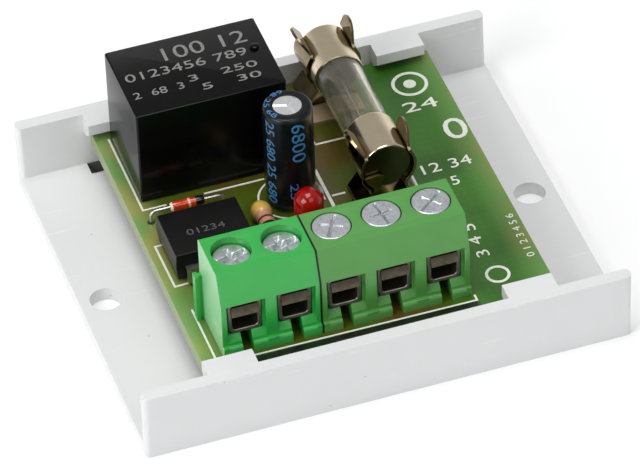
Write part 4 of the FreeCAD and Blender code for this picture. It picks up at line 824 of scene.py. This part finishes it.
def bent_strip(line, sides, thick):
    """A bent strip: every point of the centre line (x, z) is moved half the thickness to both sides, along
    the normal of the line, and spans from sides[0] to sides[1] along Y."""
    along = np.gradient(line, axis=0)
    along /= np.linalg.norm(along, axis=1)[:, None]
    normal = np.stack([-along[:, 1], along[:, 0]], 1) * thick / 2
    rows = [(line - normal, sides[0]), (line - normal, sides[1]), (line + normal, sides[1]),
            (line + normal, sides[0])]
    return np.stack([np.stack([edge[:, 0], reach, edge[:, 1]], 1) for edge, reach in rows], 1)


# Half of the clip's line, from the middle of its base: a splayed foot, the waist, an arc that holds the
# cap from 50 degrees under its middle to 34 degrees above it, and an ear that leans out, the left one more.
CLIP_WIDE, CLIP_THICK, EAR_FROM = 4.0, 0.3, 6.6
axis_up = fuse_z - board_top
arc = np.radians(np.linspace(-50, 34, 22))
hold = fuse_r + 0.17
foot_part = eased([(0, 0.15, 0), (3.15, 0.15, 0.25), (1.72, 2.15, 0.5),
                   (hold * math.cos(arc[0]), axis_up + hold * math.sin(arc[0]), 0)])
arc_part = np.stack([hold * np.cos(arc), axis_up + hold * np.sin(arc)], 1)
ear_part = eased([(*arc_part[-1], 0), (2.15, EAR_FROM, 0.25), (3.3, 8.05, 0)])
half_line = np.concatenate([foot_part[:-1], arc_part, ear_part[1:]])
dense = np.linspace(0, 1, 90)
run = np.concatenate([[0], np.cumsum(np.linalg.norm(np.diff(half_line, axis=0), axis=1))])
half_line = np.stack([np.interp(dense * run[-1], run, half_line[:, axis]) for axis in (0, 1)], 1)
left_over = (1 - dense) * run[-1]
right_line = half_line.copy()
right_line[:, 0] -= 0.4 * np.clip(half_line[:, 1] - EAR_FROM, 0, 2)
full_line = np.concatenate([half_line[::-1] * (-1, 1), right_line[1:]])
left_over = np.concatenate([left_over[::-1], left_over[1:]])
# Each ear rises to a round tip at its rear side and slopes down towards the front.
slope = np.clip(1.95 - 1.0 * left_over, 0, 1.95)
tip_round = 0.75
tip = tip_round - np.sqrt(tip_round ** 2 - np.clip(tip_round - left_over, 0, tip_round - 0.01) ** 2)
# The stop is a lip bent in from one side, across the end of the cap.
stop_line = np.array([(-1.72, 2.15), (-hold * 0.98, 3.4), (-hold, 4.2), (-0.95, 4.36), (-0.6, 4.2),
                      (-0.5, 3.9), (-0.75, 3.3), (-0.9, 2.4)])
for node, outer, inward in (("fuse_clip_front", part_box("fuse_clip_front")[0][1] / MM, 1),
                            ("fuse_clip_rear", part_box("fuse_clip_rear")[1][1] / MM, -1)):
    lowest = min(outer, outer + inward * CLIP_WIDE)
    bent = bent_strip(full_line, (lowest + slope + tip, lowest + CLIP_WIDE - 0.05 - tip), CLIP_THICK)
    bent += np.array([fuse_x, 0, board_top])
    stop = stop_line * (inward, 1) + (fuse_x, board_top)
    lip = np.stack([np.insert(stop, 1, outer + inward * depth, axis=1) for depth in (0.0, CLIP_THICK)])
    clip = shell(node + "_bent", bent, lip)
    round_edges(clip, 0.09)
    place_piece(clip, spring)
    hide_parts(node)

# The legs of the clips and the rear clip's tongue. They are sheared from the same strip, and the legs go
# through slots in the board and are soldered there. Their faces were never polished, and look matt, and their
# nickel is painted lighter than the clips', as painted light on the tongue, which lies in shade.
LEG_OFF, LEG_LOW, LEG_WIDE = 2.5, 2.9, 1.2  # From the fuse to a leg, its lower end and its width.
TONGUE_Y, TONGUE_WIDE, TONGUE_LONG = 14.3, 6.2, 2.7
legs = [box_of(fuse_x + way * LEG_OFF, at, LEG_LOW, board_top + 0.1, CLIP_THICK, LEG_WIDE)
        for way in (-1, 1) for at in (0.75, 17.55)]
tongue = box_of(fuse_x, TONGUE_Y, board_top, board_top + CLIP_THICK, TONGUE_WIDE, TONGUE_LONG)
matt_lit_strip, *_ = mottled("Nickel-plated bronze strip, matt", 0.8, 3.0, "d9c4a0", "bba582", (0.4, 0.6),
                         Metallic=0.7)
clip_legs = shell("clip_legs_and_tongue", *legs, tongue)
place_piece(clip_legs, matt_lit_strip)

# Studio. A white paper sweep lies under the part, soft boxes stand at the left and overhead, and a weak
# one in front. None of it belongs to the object.
floor_white, *_ = mottled("Matt white paper", 6, 3.0, "fdfdfd", "fafafa", Roughness=0.9)
side = np.linspace(-1500, 1500, 9)
sheet = np.stack([*np.meshgrid(side, side), np.zeros((9, 9))], -1)
floor = shell("paper_floor", sheet, around=False, ends=False)
floor.data.materials.append(floor_white)

scene = bpy.context.scene
scene.view_settings.view_transform = "Standard"
world = bpy.data.worlds.new("studio")
world.use_nodes = True
scene.world = world
backdrop = world.node_tree.nodes["Background"]
backdrop.inputs["Color"].default_value = (0.99, 0.99, 1.0, 1.0)
# The room is pale at the horizon and dim higher up, so that glossy black stays black, and darker still on
# the side that the camera stands on.
direction = add_node(backdrop, "ShaderNodeTexCoord", gives="Generated")
strength = 1.0
for axis, *reach in (("Z", 0.1, 0.5, 1.0, 0.4), ("Y", -0.9, 0.1, 0.3, 1.0)):
    along = add_node(backdrop, "ShaderNodeSeparateXYZ", direction, gives=axis)
    part = add_node(backdrop, "ShaderNodeMapRange", along, *reach)
    strength = add_node(backdrop, "ShaderNodeMath", part, strength, operation="MULTIPLY")
feed(backdrop, Strength=strength)


def soft_box(name, at, size, watts):
    """A square area light at a point in metres, turned towards the part."""
    light = bpy.data.lights.new(name, "AREA")
    light.shape, light.size, light.energy = "SQUARE", size, watts
    lamp = bpy.data.objects.new(name, light)
    scene.collection.objects.link(lamp)
    back = np.array(at, float) / np.linalg.norm(at)
    across = np.cross((0.0, 1.0, 0.01), back)
    across /= np.linalg.norm(across)
    facing = np.stack([across, np.cross(back, across), back, at], 1)
    lamp.matrix_world = Matrix(np.vstack([facing, [0, 0, 0, 1]]))


soft_box("left", (-0.48, -0.21, 0.33), 0.35, 1.9)
soft_box("front", (0.1, -0.42, 0.45), 0.35, 0.6)
soft_box("overhead", (-0.05, 0.0, 0.65), 0.35, 1.95)

# Camera. Its place and direction are worked out from measured points of the photograph, and its shift is
# what the photograph's framing needs.
azimuth, elevation, roll = np.radians([17.265, 41.769, -2.345])
ahead = np.array([math.sin(azimuth) * math.cos(elevation), math.cos(azimuth) * math.cos(elevation),
                  -math.sin(elevation)])
level = np.array([math.cos(azimuth), -math.sin(azimuth), 0.0])
above = np.cross(level, ahead)
right = level * math.cos(roll) + above * math.sin(roll)
upward = above * math.cos(roll) - level * math.sin(roll)
data = bpy.data.cameras.new("camera")
data.lens, data.sensor_width, data.sensor_fit = 331.56, 36.0, "HORIZONTAL"
data.shift_x, data.shift_y = -0.0061, 0.0006
data.clip_start, data.clip_end = 0.01, 10.0
camera = bpy.data.objects.new("camera", data)
scene.collection.objects.link(camera)
where = [-0.12889, -0.41638, 0.39253]
camera.matrix_world = Matrix(np.vstack([np.stack([right, upward, -ahead, where], 1), [0, 0, 0, 1]]))
scene.camera = camera
